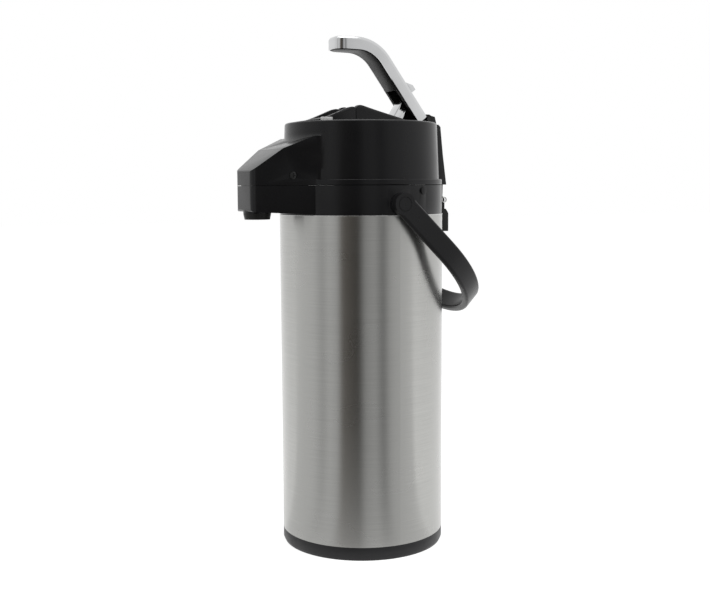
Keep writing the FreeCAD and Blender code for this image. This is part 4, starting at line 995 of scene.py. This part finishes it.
def light_the_room():
    """Soft light from all round, and plain white where it is seen directly."""
    world = bpy.data.worlds.new("room")
    world.use_nodes = True
    scene.world = world
    tree = world.node_tree
    ground = tree.nodes["Background"]
    ground.inputs["Color"].default_value = WHITE
    strength = tree.nodes.new("ShaderNodeMix")
    tree.links.new(seen_directly(tree), strength.inputs["Factor"])
    strength.inputs["A"].default_value = ROOM_LEVEL
    strength.inputs["B"].default_value = 1.0
    tree.links.new(strength.outputs["Result"], ground.inputs["Strength"])


# Tones of the curved card that only mirror surfaces see, by compass angle from
# the front view, in degrees: a dark doorway with greyer walls beside it.
CARD_TONES = (
    (-100, 1.0), (-84, 0.92), (-66, 0.86), (-53, 0.60), (-43, 0.80), (-32, 0.66), (-25, 0.16),
    (-4, 0.05), (5, 0.46), (17, 0.58), (28, 0.26), (38, 0.64), (56, 0.84), (72, 1.0),
)


CARD_FIRST = CARD_TONES[0][0]
CARD_LAST = CARD_TONES[-1][0]
CARD_NEAR = 0.085
CARD_DISTANCE = 0.46
CARD_TOP = 1.1
CARD_CLEAR = 0.0008
CARD_STEPS = 64
WASH_GREY = (0.9, 0.9, 0.9, 1.0)
WASH_SHARE = 0.62
WASH_REACH = 0.9
DARK_TONE = 0.2
DARK_WARMTH = 0.8


def card_mesh():
    """A sheet that lies on the floor round the foot and bends up at a distance."""
    corners = []
    for step in range(CARD_STEPS + 1):
        angle = math.radians(CARD_FIRST + (CARD_LAST - CARD_FIRST) * step / CARD_STEPS)
        heading = -forward * math.cos(angle) + right * math.sin(angle)
        corners += [
            tuple(heading * CARD_NEAR + Vector((0, 0, CARD_CLEAR))),
            tuple(heading * CARD_DISTANCE + Vector((0, 0, CARD_CLEAR))),
            tuple(heading * CARD_DISTANCE + Vector((0, 0, CARD_TOP))),
        ]
    faces = []
    for step in range(CARD_STEPS):
        here, there = 3 * step, 3 * step + 3
        faces += [
            (here + row, there + row, there + row + 1, here + row + 1) for row in (0, 1)
        ]
    mesh = bpy.data.meshes.new("graded_card")
    mesh.from_pydata(corners, [], faces)
    return mesh


def card_tones(tree, place):
    """The card's tone by compass angle."""
    angle = worked(
        tree, "ARCTAN2",
        facing(tree, place, tuple(right)), facing(tree, place, tuple(-forward)),
    )
    share = tree.nodes.new("ShaderNodeMapRange")
    tree.links.new(angle, share.inputs["Value"])
    share.inputs["From Min"].default_value = math.radians(CARD_FIRST)
    share.inputs["From Max"].default_value = math.radians(CARD_LAST)
    paint = tree.nodes.new("ShaderNodeValToRGB")
    tree.links.new(share.outputs["Result"], paint.inputs["Fac"])
    stops = paint.color_ramp.elements
    while len(stops) < len(CARD_TONES):
        stops.new(0.5)
    for stop, (degrees, tone) in zip(stops, CARD_TONES):
        stop.position = (degrees - CARD_FIRST) / (CARD_LAST - CARD_FIRST)
        warmth = DARK_WARMTH if tone < DARK_TONE else 1.0
        stop.color = (tone, tone * (0.5 + 0.5 * warmth), tone * warmth, 1.0)
    return paint.outputs["Color"]


def card_paint():
    """Glowing paint that is washed with pale grey on the floor near the foot."""
    material = bpy.data.materials.new("graded_card")
    material.use_nodes = True
    tree = material.node_tree
    tree.nodes.clear()
    place = tree.nodes.new("ShaderNodeTexCoord").outputs["Object"]
    reach = tree.nodes.new("ShaderNodeVectorMath")
    reach.operation = "LENGTH"
    tree.links.new(place, reach.inputs[0])
    fade = tree.nodes.new("ShaderNodeMapRange")
    tree.links.new(reach.outputs["Value"], fade.inputs["Value"])
    fade.inputs["From Min"].default_value = CARD_NEAR
    fade.inputs["From Max"].default_value = CARD_DISTANCE * WASH_REACH
    fade.inputs["To Min"].default_value = WASH_SHARE
    fade.inputs["To Max"].default_value = 0.0
    washed = tree.nodes.new("ShaderNodeMix")
    washed.data_type = "RGBA"
    tree.links.new(fade.outputs["Result"], washed.inputs["Factor"])
    tree.links.new(card_tones(tree, place), washed.inputs["A"])
    washed.inputs["B"].default_value = WASH_GREY
    glow = tree.nodes.new("ShaderNodeEmission")
    tree.links.new(washed.outputs["Result"], glow.inputs["Color"])
    output = tree.nodes.new("ShaderNodeOutputMaterial")
    tree.links.new(glow.outputs[0], output.inputs["Surface"])
    return material


def graded_card():
    """A bent card round the front, from white through grey to dark, for mirrors only."""
    mesh = card_mesh()
    mesh.materials.append(card_paint())
    card = bpy.data.objects.new("graded_card", mesh)
    scene.collection.objects.link(card)
    for ray in ("camera", "diffuse", "shadow", "transmission", "volume_scatter"):
        setattr(card, f"visible_{ray}", False)


FLOOR_HALF = 8.0
FLOOR_GREY = (0.42, 0.42, 0.42, 1.0)
FLOOR_ROUGHNESS = 0.7
FLOOR_LIFT = 0.8


def white_floor():
    """A pale floor that looks white and still carries the object's shadow."""
    half = FLOOR_HALF
    mesh = bpy.data.meshes.new("floor")
    mesh.from_pydata(
        [(-half, -half, 0), (half, -half, 0), (half, half, 0), (-half, half, 0)],
        [], [(0, 1, 2, 3)],
    )
    floor = bpy.data.objects.new("floor", mesh)
    scene.collection.objects.link(floor)
    material = bpy.data.materials.new("floor_white")
    material.use_nodes = True
    tree = material.node_tree
    shader = tree.nodes["Principled BSDF"]
    shader.inputs["Base Color"].default_value = FLOOR_GREY
    shader.inputs["Roughness"].default_value = FLOOR_ROUGHNESS
    shader.inputs["Specular IOR Level"].default_value = 0.0
    shader.inputs["Emission Color"].default_value = WHITE
    glow = worked(tree, "MULTIPLY", seen_directly(tree), FLOOR_LIFT)
    tree.links.new(glow, shader.inputs["Emission Strength"])
    mesh.materials.append(material)


# Name, metres to the right, away and up, panel size, watts, seen in mirrors.
LAMPS = (
    ("key_left", (-1.3, -0.9, 1.0), (0.9, 1.4), 11, False),
    ("key_right", (1.2, -0.5, 0.9), (0.7, 1.4), 12, False),
    ("top", (0, 0, 1.7), (1.3, 1.3), 10, True),
)
LAMP_AIM = Vector((0, 0, 0.24))


def softbox(name, place, size, watts, mirrored):
    lamp = bpy.data.lights.new(name, "AREA")
    lamp.shape = "RECTANGLE"
    lamp.size, lamp.size_y = size
    lamp.energy = watts
    holder = bpy.data.objects.new(name, lamp)
    holder.location = right * place[0] + forward * place[1] + Vector((0, 0, place[2]))
    holder.rotation_mode = "QUATERNION"
    holder.rotation_quaternion = (LAMP_AIM - holder.location).to_track_quat("-Z", "Y")
    holder.visible_glossy = mirrored
    scene.collection.objects.link(holder)


camera = bpy.data.objects.new("camera", bpy.data.cameras.new("camera"))
camera.data.lens = LENS
camera.data.sensor_width = SENSOR_WIDTH
camera.rotation_mode = "QUATERNION"
camera.rotation_quaternion = (
    Matrix.Rotation(turn, 4, "Z")
    @ Matrix.Rotation(math.radians(90 - VIEW_PITCH), 4, "X")
    @ Matrix.Rotation(math.radians(VIEW_ROLL), 4, "Z")
).to_quaternion()
camera.location = -forward * VIEW_DISTANCE - right * VIEW_OFFSET + Vector((0, 0, VIEW_HEIGHT))
scene.collection.objects.link(camera)
scene.camera = camera

light_the_room()
white_floor()
graded_card()
for lamp in LAMPS:
    softbox(*lamp)
